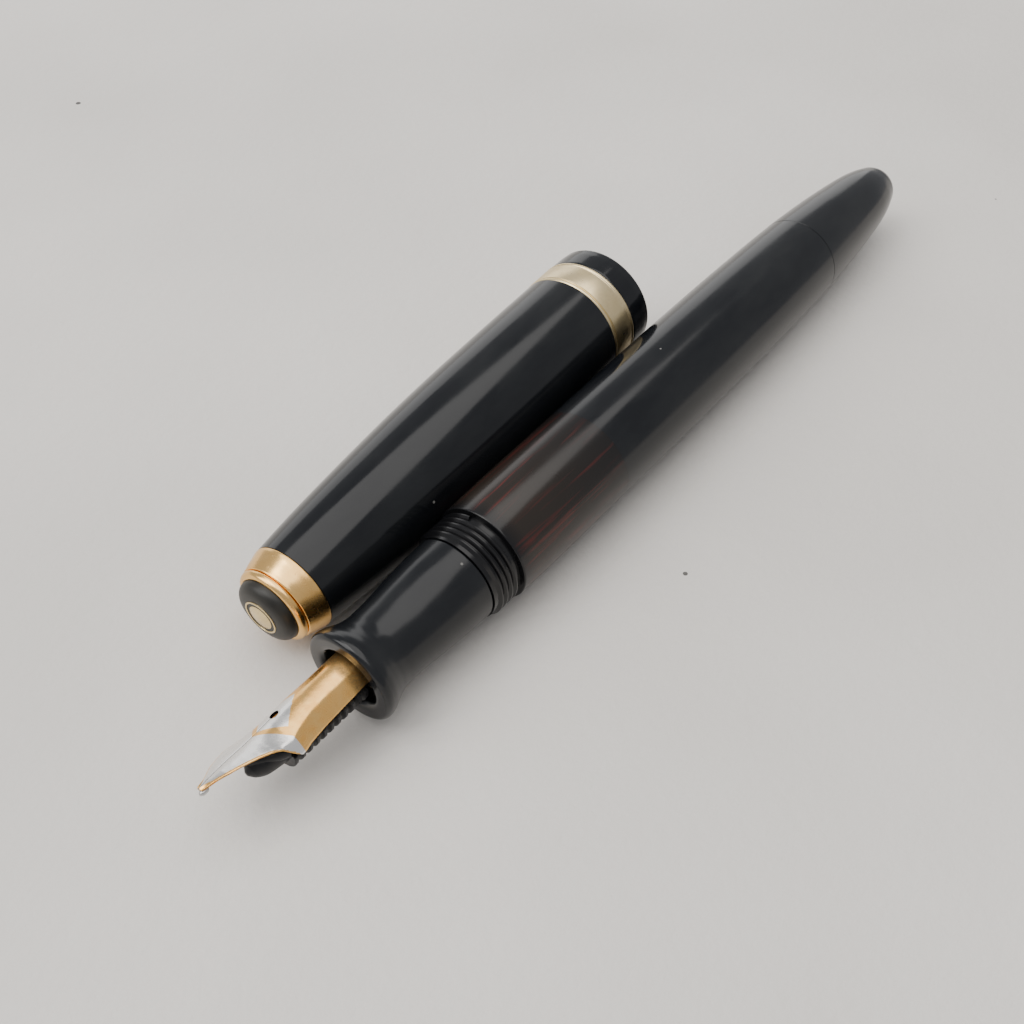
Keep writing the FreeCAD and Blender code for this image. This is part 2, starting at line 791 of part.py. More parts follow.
# ---------------------------------------------------------------- cap
def make_cap_shell():
    """Black cap tube: tapered to the crown, with a seat for the band and a thread at its mouth."""
    mouth = z["cap_length"]
    band_rear = mouth - z["band_from_mouth"]
    band_front = band_rear - z["band_width"]
    thread_rear = mouth - z["mouth_depth"]
    thread_front = thread_rear - z["cap_thread_length"]
    wall_end = z["crown_rear"] + z["end_wall"]
    liner = z["liner_radius"] + z["seat_gap"]
    body = turned("cap_shell", CAP, [
        (z["crown_rear"], z["stem_radius"] + z["seat_gap"]),
        (z["crown_rear"], z["crown_radius"] - 0.05),
        (z["cap_cone"], z["cap_cone_radius"], 0.05),
        (z["cap_turn"], z["turn_radius"], "smooth"),
        (z["cap_widest"], z["cap_radius"], "smooth"),
        (band_front, z["cap_radius"] - 0.01, "smooth"),
        (band_front, z["band_seat"]),
        (band_rear, z["band_seat"]),
        (band_rear, z["mouth_radius"] + 0.04),
        (mouth - z["mouth_edge"], z["mouth_radius"]),
        (mouth, z["mouth_radius"] - z["mouth_edge"], 0.12),
        (mouth, z["mouth_bore"] + 0.15),
        (mouth - 0.15, z["mouth_bore"]),
        (thread_rear, z["mouth_bore"]),
        (thread_rear - 0.3, z["cap_minor"]),
        (thread_front + 0.3, z["cap_minor"]),
        (thread_front, z["cap_bore"]),
        (z["liner_rim"] + 1.5, z["cap_bore"]),
        (z["liner_rim"] + 0.5, liner),
        (wall_end, liner),
        (wall_end, z["stem_radius"] + z["seat_gap"]),
    ])
    thread(
        body, "mouth_thread", thread_front, z["cap_thread_length"] - z["thread_pitch"] * 0.5,
        z["cap_minor"], z["cap_minor"] + z["thread_depth"],
        z["thread_pitch"], z["thread_pitch"],
    )


def make_cap_band():
    """Gold band with a fine rolled bead along each edge."""
    rear = z["cap_length"] - z["band_from_mouth"] - 0.02
    front = rear - z["band_width"] + 0.04
    seat = z["band_seat"] + z["seat_gap"]
    bead = z["band_bead"]
    edge = z["band_radius"] - 0.03
    turned("cap_band", CAP, [
        (front, seat),
        (front, edge),
        (front + bead, edge, 0.08),
        (front + bead + 0.08, z["band_radius"] - 0.08),
        (front + bead + 0.16, z["band_radius"]),
        (rear - bead - 0.16, z["band_radius"]),
        (rear - bead - 0.08, z["band_radius"] - 0.08),
        (rear - bead, edge),
        (rear, edge, 0.08),
        (rear, seat),
    ])


def make_inner_cap():
    """Liner whose rim closes on the grip's lip when the pen is capped."""
    floor = z["crown_rear"] + z["end_wall"] + z["seat_gap"]
    turned("inner_cap", CAP, [
        (floor, z["stem_bore"] + 0.1),
        (floor, z["liner_radius"]),
        (z["liner_rim"], z["liner_radius"]),
        (z["liner_rim"], z["liner_bore"]),
        (floor + z["liner_floor"], z["liner_bore"]),
        (floor + z["liner_floor"], z["stem_bore"] + 0.1),
    ])


def make_crown_ring():
    """Wide tapered gold ring round the head of the cap."""
    turned("crown_ring", CAP, [
        (z["ring_front"], z["ring_bore"]),
        (z["ring_front"], z["ring_front_radius"] - 0.15),
        (z["ring_front"] + 0.15, z["ring_front_radius"], 0.04),
        (z["crown_rear"] - 0.3, z["crown_radius"], 0.06),
        (z["crown_rear"], z["crown_radius"] - 0.06, 0.05),
        (z["crown_rear"], z["ring_bore"]),
    ])


def make_finial():
    """Black low dome over the ring, with a spigot and a threaded stem below it."""
    face = z["emblem_face"]
    floor = face + 0.45
    inner = z["emblem_radius"] - z["emblem_wall"]
    rear = z["ring_front"] - 0.02
    turned("finial", CAP, [
        (floor + 0.15, 0.0),
        (floor + 0.15, z["badge_radius"] + z["seat_gap"]),
        (face, z["badge_radius"] + z["seat_gap"]),
        (face + 0.02, inner - z["seat_gap"]),
        (floor, inner - z["seat_gap"]),
        (floor, z["emblem_radius"] + z["seat_gap"]),
        (face + 0.06, z["emblem_radius"] + z["seat_gap"]),
        (z["bezel_front"] - 0.1, z["dome_rim"] - 0.12, 0.12),
        (z["bezel_front"] + 0.05, z["dome_rim"]),
        (rear, z["dome_rim"]),
        (rear, z["ring_bore"] - z["seat_gap"]),
        (z["crown_rear"] - 0.02, z["ring_bore"] - z["seat_gap"]),
        (z["crown_rear"] - 0.02, z["stem_radius"]),
        (z["crown_rear"] + z["end_wall"], z["stem_radius"]),
        (z["crown_rear"] + z["end_wall"], z["stem_bore"]),
        (z["ring_front"] + 0.5, z["stem_bore"]),
        (z["ring_front"] + 0.2, 0.0),
    ])


def make_finial_trim():
    """Rounded gold bead round the dome, and the gold ring and stud set in its face."""
    rear = z["ring_front"] - 0.02
    inner = z["dome_rim"] + z["seat_gap"]
    turned("finial_bezel", CAP, [
        (rear, inner),
        (rear, z["bezel_radius"] - 0.12),
        (rear - 0.3, z["bezel_radius"], 0.06),
        (z["bezel_front"], inner + 0.2, 0.16),
        (z["bezel_front"], inner),
    ])
    face = z["emblem_face"]
    turned("emblem_ring", CAP, [
        (face - 0.04, z["emblem_radius"] - z["emblem_wall"]),
        (face - 0.04, z["emblem_radius"], 0.05),
        (face + 0.43, z["emblem_radius"]),
        (face + 0.43, z["emblem_radius"] - z["emblem_wall"]),
    ])
    turned("emblem_stud", CAP, [
        (face - z["badge_rise"], 0.0),
        (face, z["badge_radius"], dome_rise(z["badge_radius"], z["badge_rise"])),
        (face + 0.58, z["badge_radius"]),
        (face + 0.58, 0.0),
    ])


def make_crown_screw():
    """Slotted screw and washer inside the cap that clamp liner, wall and finial together."""
    seat = z["crown_rear"] + z["end_wall"] + z["liner_floor"] + z["seat_gap"] * 2
    under_head = seat + z["screw_washer"] + z["seat_gap"]
    top = under_head + z["screw_head_length"]
    shank = z["stem_bore"] - z["seat_gap"]
    body = turned("crown_screw", CAP, [
        (z["ring_front"] + 0.8, 0.0),
        (z["ring_front"] + 0.8, shank),
        (under_head, shank),
        (under_head, z["screw_head"]),
        (top - 0.25, z["screw_head"]),
        (top, z["screw_head"] - 0.25, 0.07),
        (top, 0.0),
    ])
    slot = outline(new_sketch(body, "slot_shape", "XZ_Plane"), [
        (top - 0.6, -0.25),
        (top + 0.5, -0.25),
        (top + 0.5, 0.25),
        (top - 0.6, 0.25),
    ])
    pocket(body, "driver_slot", slot, 8.0)
    turned("crown_washer", CAP, [
        (seat, z["stem_bore"] + 0.1),
        (seat, z["screw_head"] + 0.7),
        (seat + z["screw_washer"], z["screw_head"] + 0.7),
        (seat + z["screw_washer"], z["stem_bore"] + 0.1),
    ])


make_section()
make_nib()
make_nib_tip()
make_feed()
make_nib_collar()
make_ink_window()
make_barrel()
make_piston_guide()
make_retaining_ring()
make_piston()
make_spindle()
make_turning_knob()
make_thrust_washer()
make_cap_shell()
make_cap_band()
make_inner_cap()
make_crown_ring()
make_finial()
make_finial_trim()
make_crown_screw()

os.makedirs("parts", exist_ok=True)
doc.recompute()
for item in doc.Objects:
    if "Invalid" in item.State or "Error" in item.State:
        raise RuntimeError("%s failed: %s" % (item.Label, item.State))
for piece in pieces:
    if piece.Shape.isNull() or not piece.Shape.isValid():
        raise RuntimeError("%s has no valid shape" % piece.Label)
for piece in pieces:
    print(piece.Label, len(piece.Shape.Solids), round(piece.Shape.Volume, 2), "mm3")
    piece.Shape.exportStep("parts/%s.step" % piece.Label)
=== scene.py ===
import bmesh
import bpy
import math
from mathutils import Matrix, Vector


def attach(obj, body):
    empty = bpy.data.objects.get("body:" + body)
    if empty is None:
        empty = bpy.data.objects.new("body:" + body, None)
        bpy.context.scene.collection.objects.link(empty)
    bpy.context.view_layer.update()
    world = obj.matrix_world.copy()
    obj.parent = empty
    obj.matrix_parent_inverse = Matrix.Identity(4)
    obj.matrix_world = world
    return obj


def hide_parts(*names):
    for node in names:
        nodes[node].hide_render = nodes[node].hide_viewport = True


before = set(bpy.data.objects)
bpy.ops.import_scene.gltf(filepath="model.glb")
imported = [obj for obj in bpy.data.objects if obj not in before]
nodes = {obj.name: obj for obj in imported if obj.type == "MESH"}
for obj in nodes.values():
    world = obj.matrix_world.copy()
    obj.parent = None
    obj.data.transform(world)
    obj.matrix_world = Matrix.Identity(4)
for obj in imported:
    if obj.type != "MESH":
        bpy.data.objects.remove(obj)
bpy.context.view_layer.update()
MM = 0.001

# ------------------------------------------------------------------ table, light and camera
# The pen lies on a pale, matt table. A wide soft light hangs overhead, a window stands to the
# left, and a pale card behind brightens the far sides.
PAPER_PALE = (0.735, 0.703, 0.662, 1.0)
PAPER_SHADE = (0.640, 0.612, 0.576, 1.0)
SPECK = (0.10, 0.095, 0.09, 1.0)


def add_node(tree, kind, inputs=None, **settings):
    """Add a node to a tree; each input is a socket to join or a value to set."""
    node = tree.nodes.new(kind)
    for key, value in settings.items():
        setattr(node, key, value)
    for key, value in (inputs or {}).items():
        if isinstance(value, bpy.types.NodeSocket):
            tree.links.new(value, node.inputs[key])
        else:
            node.inputs[key].default_value = value
    return node


class Finish:
    """One material's node tree, with short calls to add and join its nodes."""

    def __init__(self, name):
        self.material = bpy.data.materials.new(name)
        self.material.use_nodes = True
        self.tree = self.material.node_tree
        self.shader = self.tree.nodes["Principled BSDF"]
        self.place = self.add("ShaderNodeTexCoord").outputs["Object"]

    def add(self, kind, inputs=None, **settings):
        return add_node(self.tree, kind, inputs, **settings)

    def join(self, socket, name):
        self.tree.links.new(socket, self.shader.inputs[name])

    def maths(self, operation, first, second=0.0):
        return self.add("ShaderNodeMath", {0: first, 1: second}, operation=operation).outputs[0]

    def placed(self, origin=(0, 0, 0), scale=(1, 1, 1), turn=(0, 0, 0)):
        """Object coordinates laid from a piece's own origin, in metres, and stretched."""
        moved = self.add("ShaderNodeVectorMath", {0: self.place, 1: origin}, operation="SUBTRACT")
        inputs = {"Vector": moved.outputs[0], "Rotation": turn, "Scale": scale}
        return self.add("ShaderNodeMapping", inputs).outputs[0]

    def noise(self, vector, scale, detail=4.0, rough=0.5):
        inputs = {"Vector": vector, "Scale": scale, "Detail": detail, "Roughness": rough}
        return self.add("ShaderNodeTexNoise", inputs).outputs["Fac"]

    def span(self, value, low, high, to_low=0.0, to_high=1.0):
        inputs = {0: value, 1: low, 2: high, 3: to_low, 4: to_high}
        return self.add("ShaderNodeMapRange", inputs).outputs[0]

    def blend(self, amount, first, second):
        """One colour turning into another; inputs 6 and 7 are the mix node's colours."""
        inputs = {0: amount, 6: first, 7: second}
        return self.add("ShaderNodeMix", inputs, data_type="RGBA").outputs[2]

    def relief(self, height, depth, strength):
        inputs = {"Height": height, "Distance": depth, "Strength": strength}
        self.join(self.add("ShaderNodeBump", inputs).outputs[0], "Normal")


table = Finish("table_top")
grain = table.noise(table.placed(), 900.0, 6.0, 0.62)
patches = table.noise(table.placed(), 14.0, 3.0)
dust = table.add("ShaderNodeTexVoronoi", {"Vector": table.placed(), "Scale": 105.0})
near = table.maths("LESS_THAN", dust.outputs["Distance"], 0.045)
rare = table.add("ShaderNodeSeparateColor", {0: dust.outputs["Color"]})
speck = table.maths("MULTIPLY", near, table.maths("LESS_THAN", rare.outputs[0], 0.20))
tone = table.blend(table.span(patches, 0.35, 0.65), PAPER_PALE, PAPER_SHADE)
tone = table.blend(table.span(grain, 0.3, 0.7, 0.0, 0.16), tone, PAPER_SHADE)
table.join(table.blend(speck, tone, SPECK), "Base Color")
table.shader.inputs["Roughness"].default_value = 0.62
lumps = table.noise(table.placed(), 420.0, 5.0, 0.6)
table.relief(table.maths("ADD", grain, table.maths("MULTIPLY", lumps, 2.0)), 0.00012, 0.6)
bpy.ops.mesh.primitive_plane_add(size=4.0, location=(0.0, 0.0, 0.0))
top = bpy.context.object
top.name = "table"
top.data.materials.append(table.material)

world = bpy.data.worlds.new("room")
world.use_nodes = True
world.node_tree.nodes["Background"].inputs[0].default_value = (0.86, 0.87, 0.90, 1.0)
world.node_tree.nodes["Background"].inputs[1].default_value = 0.62
bpy.context.scene.world = world


def lamp(name, place, aim, size, power, tint):
    """A rectangular soft light that faces a point on the table."""
    light = bpy.data.lights.new(name, "AREA")
    light.shape = "RECTANGLE"
    light.size, light.size_y = size
    light.energy = power
    light.color = tint
    holder = bpy.data.objects.new(name, light)
    holder.location = place
    holder.rotation_euler = (Vector(aim) - Vector(place)).to_track_quat("-Z", "Y").to_euler()
    bpy.context.scene.collection.objects.link(holder)


lamp("window", (-0.62, 0.48, 0.80), (0, 0, 0), (0.62, 1.05), 8.4, (1.0, 0.985, 0.96))
lamp("ceiling", (0.05, 0.05, 1.25), (0, 0, 0), (1.5, 1.5), 15.5, (1.0, 0.975, 0.94))
lamp("back_card", (0.95, 1.15, 0.32), (0, 0, 0.05), (1.9, 0.7), 5.2, (1.0, 0.99, 0.97))

AZIMUTH, ELEVATION, ROLL = (math.radians(a) for a in (38.995, 48.412, -0.115))
forward = Vector((
    math.cos(AZIMUTH) * math.cos(ELEVATION),
    math.sin(AZIMUTH) * math.cos(ELEVATION),
    -math.sin(ELEVATION),
))
level = Vector((math.sin(AZIMUTH), -math.cos(AZIMUTH), 0.0))
upright = level.cross(forward)
across = level * math.cos(ROLL) + upright * math.sin(ROLL)
above = -level * math.sin(ROLL) + upright * math.cos(ROLL)
SENSOR = 36.0
view = bpy.data.cameras.new("camera")
view.sensor_width = SENSOR
view.lens = SENSOR * 1259.5 / 1024.0
view.clip_start = 0.005
eye = bpy.data.objects.new("camera", view)
eye.matrix_world = Matrix.Translation(Vector((-86.91, -62.121, 106.159)) * MM) @ Matrix(
    (across, above, -forward)
).transposed().to_4x4()
bpy.context.scene.collection.objects.link(eye)
bpy.context.scene.camera = eye

# ------------------------------------------------------------------ grip section
# The black resin grip is turned from one rod: a flared lip with a wide mouth, a hollow waist
# for the fingers, and a cylinder that runs back to the thread. It is polished all over.
PEN_TIP = Vector((-61.7, -7.41, 6.04)) * MM
RESIN_DEEP = (0.0035, 0.0042, 0.0058, 1.0)
RESIN_WORN = (0.0105, 0.0115, 0.0125, 1.0)
RESIN_IOR = 1.52
RESIN_SHEEN = 0.34
ROUND_STEPS = 192


def smooth_line(points, steps=10):
    """A smooth line through (x, r) points, without overshoot, for a turned outline."""
    line = []
    last = len(points) - 1
    slopes = []
    for i in range(last):
        slopes.append((points[i + 1][1] - points[i][1]) / (points[i + 1][0] - points[i][0]))
    tangents = [slopes[0]]
    for before, after in zip(slopes, slopes[1:]):
        tangents.append(0.0 if before * after <= 0 else 2 * before * after / (before + after))
    tangents.append(slopes[-1])
    for i in range(last):
        (x0, r0), (x1, r1) = points[i], points[i + 1]
        run = x1 - x0
        for k in range(steps):
            t = k / steps
            a = (1 + 2 * t) * (1 - t) ** 2
            b = t * (1 - t) ** 2
            c = t * t * (3 - 2 * t)
            d = t * t * (t - 1)
            rise = run * (b * tangents[i] + d * tangents[i + 1])
            line.append((x0 + run * t, a * r0 + c * r1 + rise))
    line.append(points[-1])
    return line


def corner(x, r, size, turn, steps=4):
    """A small rounded corner at (x, r); turn holds its start and end angle in degrees."""
    start, end = (math.radians(a) for a in turn)
    line = []
    for k in range(steps + 1):
        angle = start + (end - start) * k / steps
        line.append((x + size * math.cos(angle), r + size * math.sin(angle)))
    return line


def new_piece(name, mesh, finish, body, replaced, sharp=32.0):
    """Put a finished mesh in the scene, riding on its body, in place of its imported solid."""
    mesh.name = name
    for face in mesh.polygons:
        face.use_smooth = True
    mesh.set_sharp_from_angle(angle=math.radians(sharp))
    mesh.materials.clear()
    mesh.materials.append(finish.material)
    piece = bpy.data.objects.new(name, mesh)
    bpy.context.scene.collection.objects.link(piece)
    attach(piece, body)
    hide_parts(*replaced)


def turned(outline, placement, steps=ROUND_STEPS):
    """A closed (x, r) outline swept once round the x axis, then put in its place."""
    work = bmesh.new()
    rings = []
    for x, r in outline:
        if r < 1e-6:
            rings.append([work.verts.new((x, 0.0, 0.0))])
            continue
        ring = []
        for k in range(steps):
            angle = 2 * math.pi * k / steps
            ring.append(work.verts.new((x, r * math.sin(angle), r * math.cos(angle))))
        rings.append(ring)
    for i, ring in enumerate(rings):
        following = rings[(i + 1) % len(rings)]
        if len(ring) == 1 and len(following) == 1:
            continue
        for k in range(steps):
            a, b = ring[k % len(ring)], ring[(k + 1) % len(ring)]
            c, d = following[(k + 1) % len(following)], following[k % len(following)]
            work.faces.new([v for n, v in enumerate((a, b, c, d)) if v not in (a, b, c, d)[:n]])
    bmesh.ops.scale(work, vec=(MM, MM, MM), verts=work.verts)
    bmesh.ops.recalc_face_normals(work, faces=work.faces)
    work.transform(placement)
    mesh = bpy.data.meshes.new("turned")
    work.to_mesh(mesh)
    work.free()
    return mesh


def polished_black(name, origin, deep=RESIN_DEEP, worn=RESIN_WORN, gloss=0.10, along=0.0):
    """Black resin polished by hand: hair scratches along the pen, faint smears and dust."""
    finish = Finish(name)
    here = finish.placed(origin, turn=(0, 0, -along))
    smear = finish.noise(finish.placed(origin, (0.35, 1, 1), (0, 0, -along)), 260.0, 5.0, 0.6)
    hair = finish.noise(finish.placed(origin, (0.03, 1, 1), (0, 0, -along)), 5200.0, 3.0, 0.7)
    cross = finish.noise(finish.placed(origin, (1, 0.05, 0.6), (0.5, 0.3, 0.6)), 3600.0, 2.0, 0.6)
    dust = finish.add("ShaderNodeTexVoronoi", {"Vector": here, "Scale": 620.0})
    seen = finish.maths("LESS_THAN", dust.outputs["Distance"], 0.10)
    pick = finish.add("ShaderNodeSeparateColor", {0: dust.outputs["Color"]})
    mote = finish.maths("MULTIPLY", seen, finish.maths("LESS_THAN", pick.outputs[0], 0.035))
    colour = finish.blend(finish.span(smear, 0.35, 0.75), deep, worn)
    colour = finish.blend(finish.maths("MULTIPLY", mote, 0.5), colour, (0.30, 0.29, 0.27, 1.0))
    finish.join(colour, "Base Color")
    dulled = finish.maths("MULTIPLY", mote, 0.5)
    rough = finish.maths("ADD", finish.span(smear, 0.3, 0.8, gloss, gloss + 0.12), dulled)
    finish.join(rough, "Roughness")
    finish.shader.inputs["IOR"].default_value = RESIN_IOR
    finish.shader.inputs["Specular IOR Level"].default_value = RESIN_SHEEN
    height = finish.maths("MULTIPLY", hair, 0.7)
    height = finish.maths("ADD", height, finish.maths("MULTIPLY", cross, 0.3))
    finish.relief(height, 0.000004, 0.35)
    return finish


PEN = Matrix.Translation(PEN_TIP)
grip_black = polished_black("grip_black_resin", PEN_TIP, gloss=0.16)
LIP = 17.5
GRIP_END = 33.3
grip_outline = (
    [(LIP + 0.02, 3.85), (LIP, 4.1), (LIP, 4.75)]
    + corner(LIP + 0.55, 4.79, 0.55, (180, 90), 8)
    + smooth_line([
        (LIP + 0.8, 5.335), (LIP + 1.35, 5.2), (LIP + 2.2, 4.85), (LIP + 3.2, 4.5),
        (LIP + 4.4, 4.335), (LIP + 6.2, 4.38), (LIP + 9.5, 4.66), (LIP + 13.0, 4.92),
        (GRIP_END - 0.25, 5.0),
    ])
    + corner(GRIP_END - 0.22, 4.8, 0.2, (90, 0), 4)
    + [(GRIP_END, 4.2), (GRIP_END + 6.0, 4.2), (GRIP_END + 6.0, 3.0)]
    + [(LIP + 2.4, 3.0), (LIP + 2.4, 3.2), (LIP + 0.9, 3.22)]
    + smooth_line([(LIP + 0.5, 3.3), (LIP + 0.25, 3.42), (LIP + 0.08, 3.6)], 4)
)
new_piece("grip", turned(grip_outline, PEN), grip_black, "pen", ["section"])

# ------------------------------------------------------------------ nib
# The nib is pressed from gold sheet 0.3 mm thick: a low ridge, sides that wrap the feed, wide
# shoulders bent down, and two long tines. Its fore-part is plated in a silver colour.
NIB_ROLL = math.radians(-35.0)
NIB = Matrix.Translation(PEN_TIP) @ Matrix.Rotation(NIB_ROLL, 4, "X")
SHEET = 0.30
SLIT = 0.07
HOLE = 9.6
HOLE_RADIUS = 0.50
NIB_FRONT = 0.25
NIB_REAR = 27.5
TINE_STEP = 0.115
BODY_STEP = 0.18
TOP_STEPS = 12
SIDE_STEPS = 8
# place from the tip: half width and height of the edge, of the crease, and height of the ridge
NIB_SHAPE = (
    (NIB_FRONT, 0.36, 2.00, 0.28, 2.08, 2.16),
    (1.5, 1.00, 2.10, 0.80, 2.19, 2.27),
    (2.58, 1.75, 2.14, 1.45, 2.24, 2.32),
    (3.6, 2.25, 2.08, 1.90, 2.20, 2.34),
    (4.6, 2.70, 1.94, 2.35, 2.08, 2.33),
    (5.5, 3.02, 1.74, 2.70, 1.90, 2.32),
    (6.5, 3.25, 1.36, 2.98, 1.58, 2.33),
    (7.3, 3.36, 0.82, 3.14, 1.18, 2.36),
    (8.0, 3.40, -0.10, 3.16, 0.98, 2.40),
    (8.6, 3.40, -0.76, 3.14, 0.86, 2.43),
    (9.2, 3.28, -0.76, 3.00, 1.03, 2.48),
    (10.0, 3.08, -0.66, 2.78, 1.22, 2.54),
    (12.0, 2.82, -0.57, 2.42, 1.46, 2.64),
    (14.5, 2.68, -0.50, 2.23, 1.47, 2.67),
    (17.5, 2.61, -0.40, 2.18, 1.49, 2.68),
    (NIB_REAR, 2.49, -0.20, 2.09, 1.44, 2.60),
)
GOLD = (1.0, 0.61, 0.21, 1.0)
GOLD_DEEP = (0.92, 0.48, 0.13, 1.0)
SILVER = (0.86, 0.845, 0.82, 1.0)


def between(rows, place):
    """The row of a table at a place between two of its rows."""
    for before, after in zip(rows, rows[1:]):
        if place <= after[0]:
            t = max(0.0, (place - before[0]) / (after[0] - before[0]))
            return [a + (b - a) * t for a, b in zip(before[1:], after[1:])]
    return list(rows[-1][1:])


def nib_section(place, side):
    """Points across one half of the nib at a place, from the slit or ridge out to the edge."""
    edge_y, edge_z, crease_y, crease_z, ridge = between(NIB_SHAPE, place)
    points = []
    start = SLIT / 2 if place < HOLE else 0.0
    for k in range(TOP_STEPS + 1):
        t = k / TOP_STEPS
        y = start + (crease_y - start) * t
        bow = 0.05 * math.sin(math.pi * t) * min(1.0, crease_y / 2)
        z = ridge + (crease_z - ridge) * t ** 1.9 + bow
        points.append((y, z))
    for k in range(1, SIDE_STEPS + 1):
        t = k / SIDE_STEPS
        y = crease_y + (edge_y - crease_y) * t + 0.07 * math.sin(math.pi * t)
        points.append((y, crease_z + (edge_z - crease_z) * t))
    return [(side * y, z) for y, z in points]


def nib_half(side):
    """One tine with its half of the body, as an open sheet with its plan kept as a UV map."""
    work = bmesh.new()
    plan = work.loops.layers.uv.new("plan")
    places = [NIB_FRONT + TINE_STEP * k for k in range(82)]
    places += [HOLE + BODY_STEP * k for k in range(1, 100)]
    places = [p for p in places if p <= NIB_REAR] + [NIB_REAR]
    grid = []
    for place in places:
        row = []
        length = 0.0
        before = None
        for y, z in nib_section(place, side):
            if before:
                length += math.hypot(y - before[0], z - before[1])
            before = (y, z)
            vertex = work.verts.new((place, y, z))
            out = length + (SLIT / 2 if place < HOLE else 0.0)
            row.append((vertex, (place, side * out)))
        grid.append(row)
    for front, rear in zip(grid, grid[1:]):
        for k in range(len(front) - 1):
            quad = [front[k], front[k + 1], rear[k + 1], rear[k]]
            face = work.faces.new([v for v, _ in quad])
            for loop, (_, uv) in zip(face.loops, quad):
                loop[plan].uv = uv
    return work


def plain_mesh(holder):
    """The mesh that an object's modifiers make; the object itself is removed."""
    graph = bpy.context.evaluated_depsgraph_get()
    mesh = bpy.data.meshes.new_from_object(holder.evaluated_get(graph))
    holder.modifiers.clear()
    bpy.data.objects.remove(holder)
    return mesh


def nib_mesh():
    """Both halves joined behind the breather hole, thickened, with the hole cut out."""
    mesh = bpy.data.meshes.new("nib_sheet")
    whole = nib_half(1)
    other = bpy.data.meshes.new("nib_left")
    left = nib_half(-1)
    left.to_mesh(other)
    left.free()
    whole.from_mesh(other)
    bmesh.ops.remove_doubles(whole, verts=whole.verts, dist=0.004)
    middle = Vector((HOLE, 0, 2.55))
    hole_faces = [f for f in whole.faces if (f.calc_center_median() - middle).length < HOLE_RADIUS]
    bmesh.ops.delete(whole, geom=hole_faces, context="FACES")
    for vertex in whole.verts:
        flat = Vector((vertex.co.x - HOLE, vertex.co.y))
        near_hole = flat.length < HOLE_RADIUS + 0.24
        if vertex.is_boundary and near_hole and abs(vertex.co.y) > SLIT * 0.6:
            flat = flat.normalized() * HOLE_RADIUS
            vertex.co.x, vertex.co.y = HOLE + flat.x, flat.y
    bmesh.ops.recalc_face_normals(whole, faces=whole.faces)
    high = max(whole.faces, key=lambda f: f.calc_center_median().z)
    if high.normal.z < 0:
        bmesh.ops.reverse_faces(whole, faces=whole.faces)
    whole.to_mesh(mesh)
    whole.free()
    holder = bpy.data.objects.new("nib_work", mesh)
    bpy.context.scene.collection.objects.link(holder)
    wall = holder.modifiers.new("wall", "SOLIDIFY")
    wall.thickness = SHEET
    wall.offset = -1.0
    wall.use_even_offset = True
    edge = holder.modifiers.new("edge", "BEVEL")
    edge.width = 0.035
    edge.segments = 2
    edge.limit_method = "ANGLE"
    edge.angle_limit = math.radians(50)
    shown = plain_mesh(holder)
    shown.transform(NIB @ Matrix.Scale(MM, 4))
    return shown


two_tone = Finish("nib_two_tone")
plan = two_tone.add("ShaderNodeUVMap", uv_map="plan").outputs[0]
parts = two_tone.add("ShaderNodeSeparateXYZ", {0: plan})
along_nib, out_nib = parts.outputs[0], two_tone.maths("ABSOLUTE", parts.outputs[1])
wander = two_tone.span(two_tone.noise(plan, 1.6, 2.0), 0.3, 0.7, -0.10, 0.10)
# the silver field ends in a chevron whose point lies behind the breather hole
field = two_tone.maths("ADD", along_nib, wander)
field = two_tone.maths("ADD", field, two_tone.maths("MULTIPLY", out_nib, 1.28))
silver_all = two_tone.span(field, 12.28, 12.36, 1.0, 0.0)
# a gold chevron crosses it in front of the hole, and the rims of the tines are left gold
rear_slant = two_tone.maths("SUBTRACT", along_nib, two_tone.maths("MULTIPLY", out_nib, 0.86))
stripe_rear = two_tone.span(rear_slant, 7.30, 7.36)
front_slant = two_tone.maths("SUBTRACT", along_nib, two_tone.maths("MULTIPLY", out_nib, 0.66))
stripe_front = two_tone.span(front_slant, 6.72, 6.80)
stripe = two_tone.maths("MULTIPLY", stripe_front, two_tone.maths("SUBTRACT", 1.0, stripe_rear))
front_wing = two_tone.span(along_nib, 8.95, 9.02, 1.0, 0.0)
shoulder = two_tone.maths("MULTIPLY", front_wing, two_tone.span(out_nib, 2.3, 2.4))
silver = two_tone.maths("MAXIMUM", silver_all, shoulder)
silver = two_tone.maths("MULTIPLY", silver, two_tone.maths("SUBTRACT", 1.0, stripe))
rim_tone = two_tone.add("ShaderNodeAttribute", attribute_name="rim").outputs["Fac"]
silver = two_tone.maths("MULTIPLY", silver, two_tone.maths("SUBTRACT", 1.0, rim_tone))
cloud = two_tone.noise(plan, 0.9, 5.0, 0.6)
gold = two_tone.blend(two_tone.span(cloud, 0.3, 0.75), GOLD, GOLD_DEEP)
blots = two_tone.span(two_tone.noise(plan, 3.0, 5.0, 0.7), 0.25, 0.6)
stain = two_tone.maths("MULTIPLY", two_tone.span(along_nib, 16.1, 16.6), blots)
gold = two_tone.blend(two_tone.maths("MULTIPLY", stain, 0.75), gold, (0.20, 0.145, 0.075, 1.0))
# painted shade: the walls of the breather hole and the slit are turned near-black (0.012, 0.010,
# 0.010)
painted_hole_shade = two_tone.add("ShaderNodeAttribute", attribute_name="hole_slit_shade").outputs["Fac"]
plated = two_tone.blend(silver, gold, SILVER)
two_tone.join(two_tone.blend(painted_hole_shade, plated, (0.012, 0.010, 0.010, 1.0)), "Base Color")
two_tone.shader.inputs["Metallic"].default_value = 1.0
dulled = two_tone.maths("MULTIPLY", stain, 0.22)
rough = two_tone.maths("ADD", two_tone.span(cloud, 0.3, 0.8, 0.20, 0.34), dulled)
two_tone.join(rough, "Roughness")
fine = two_tone.noise(two_tone.placed(PEN_TIP, (0.2, 1, 1)), 5200.0, 4.0, 0.7)
dents = two_tone.noise(plan, 1.1, 2.0)
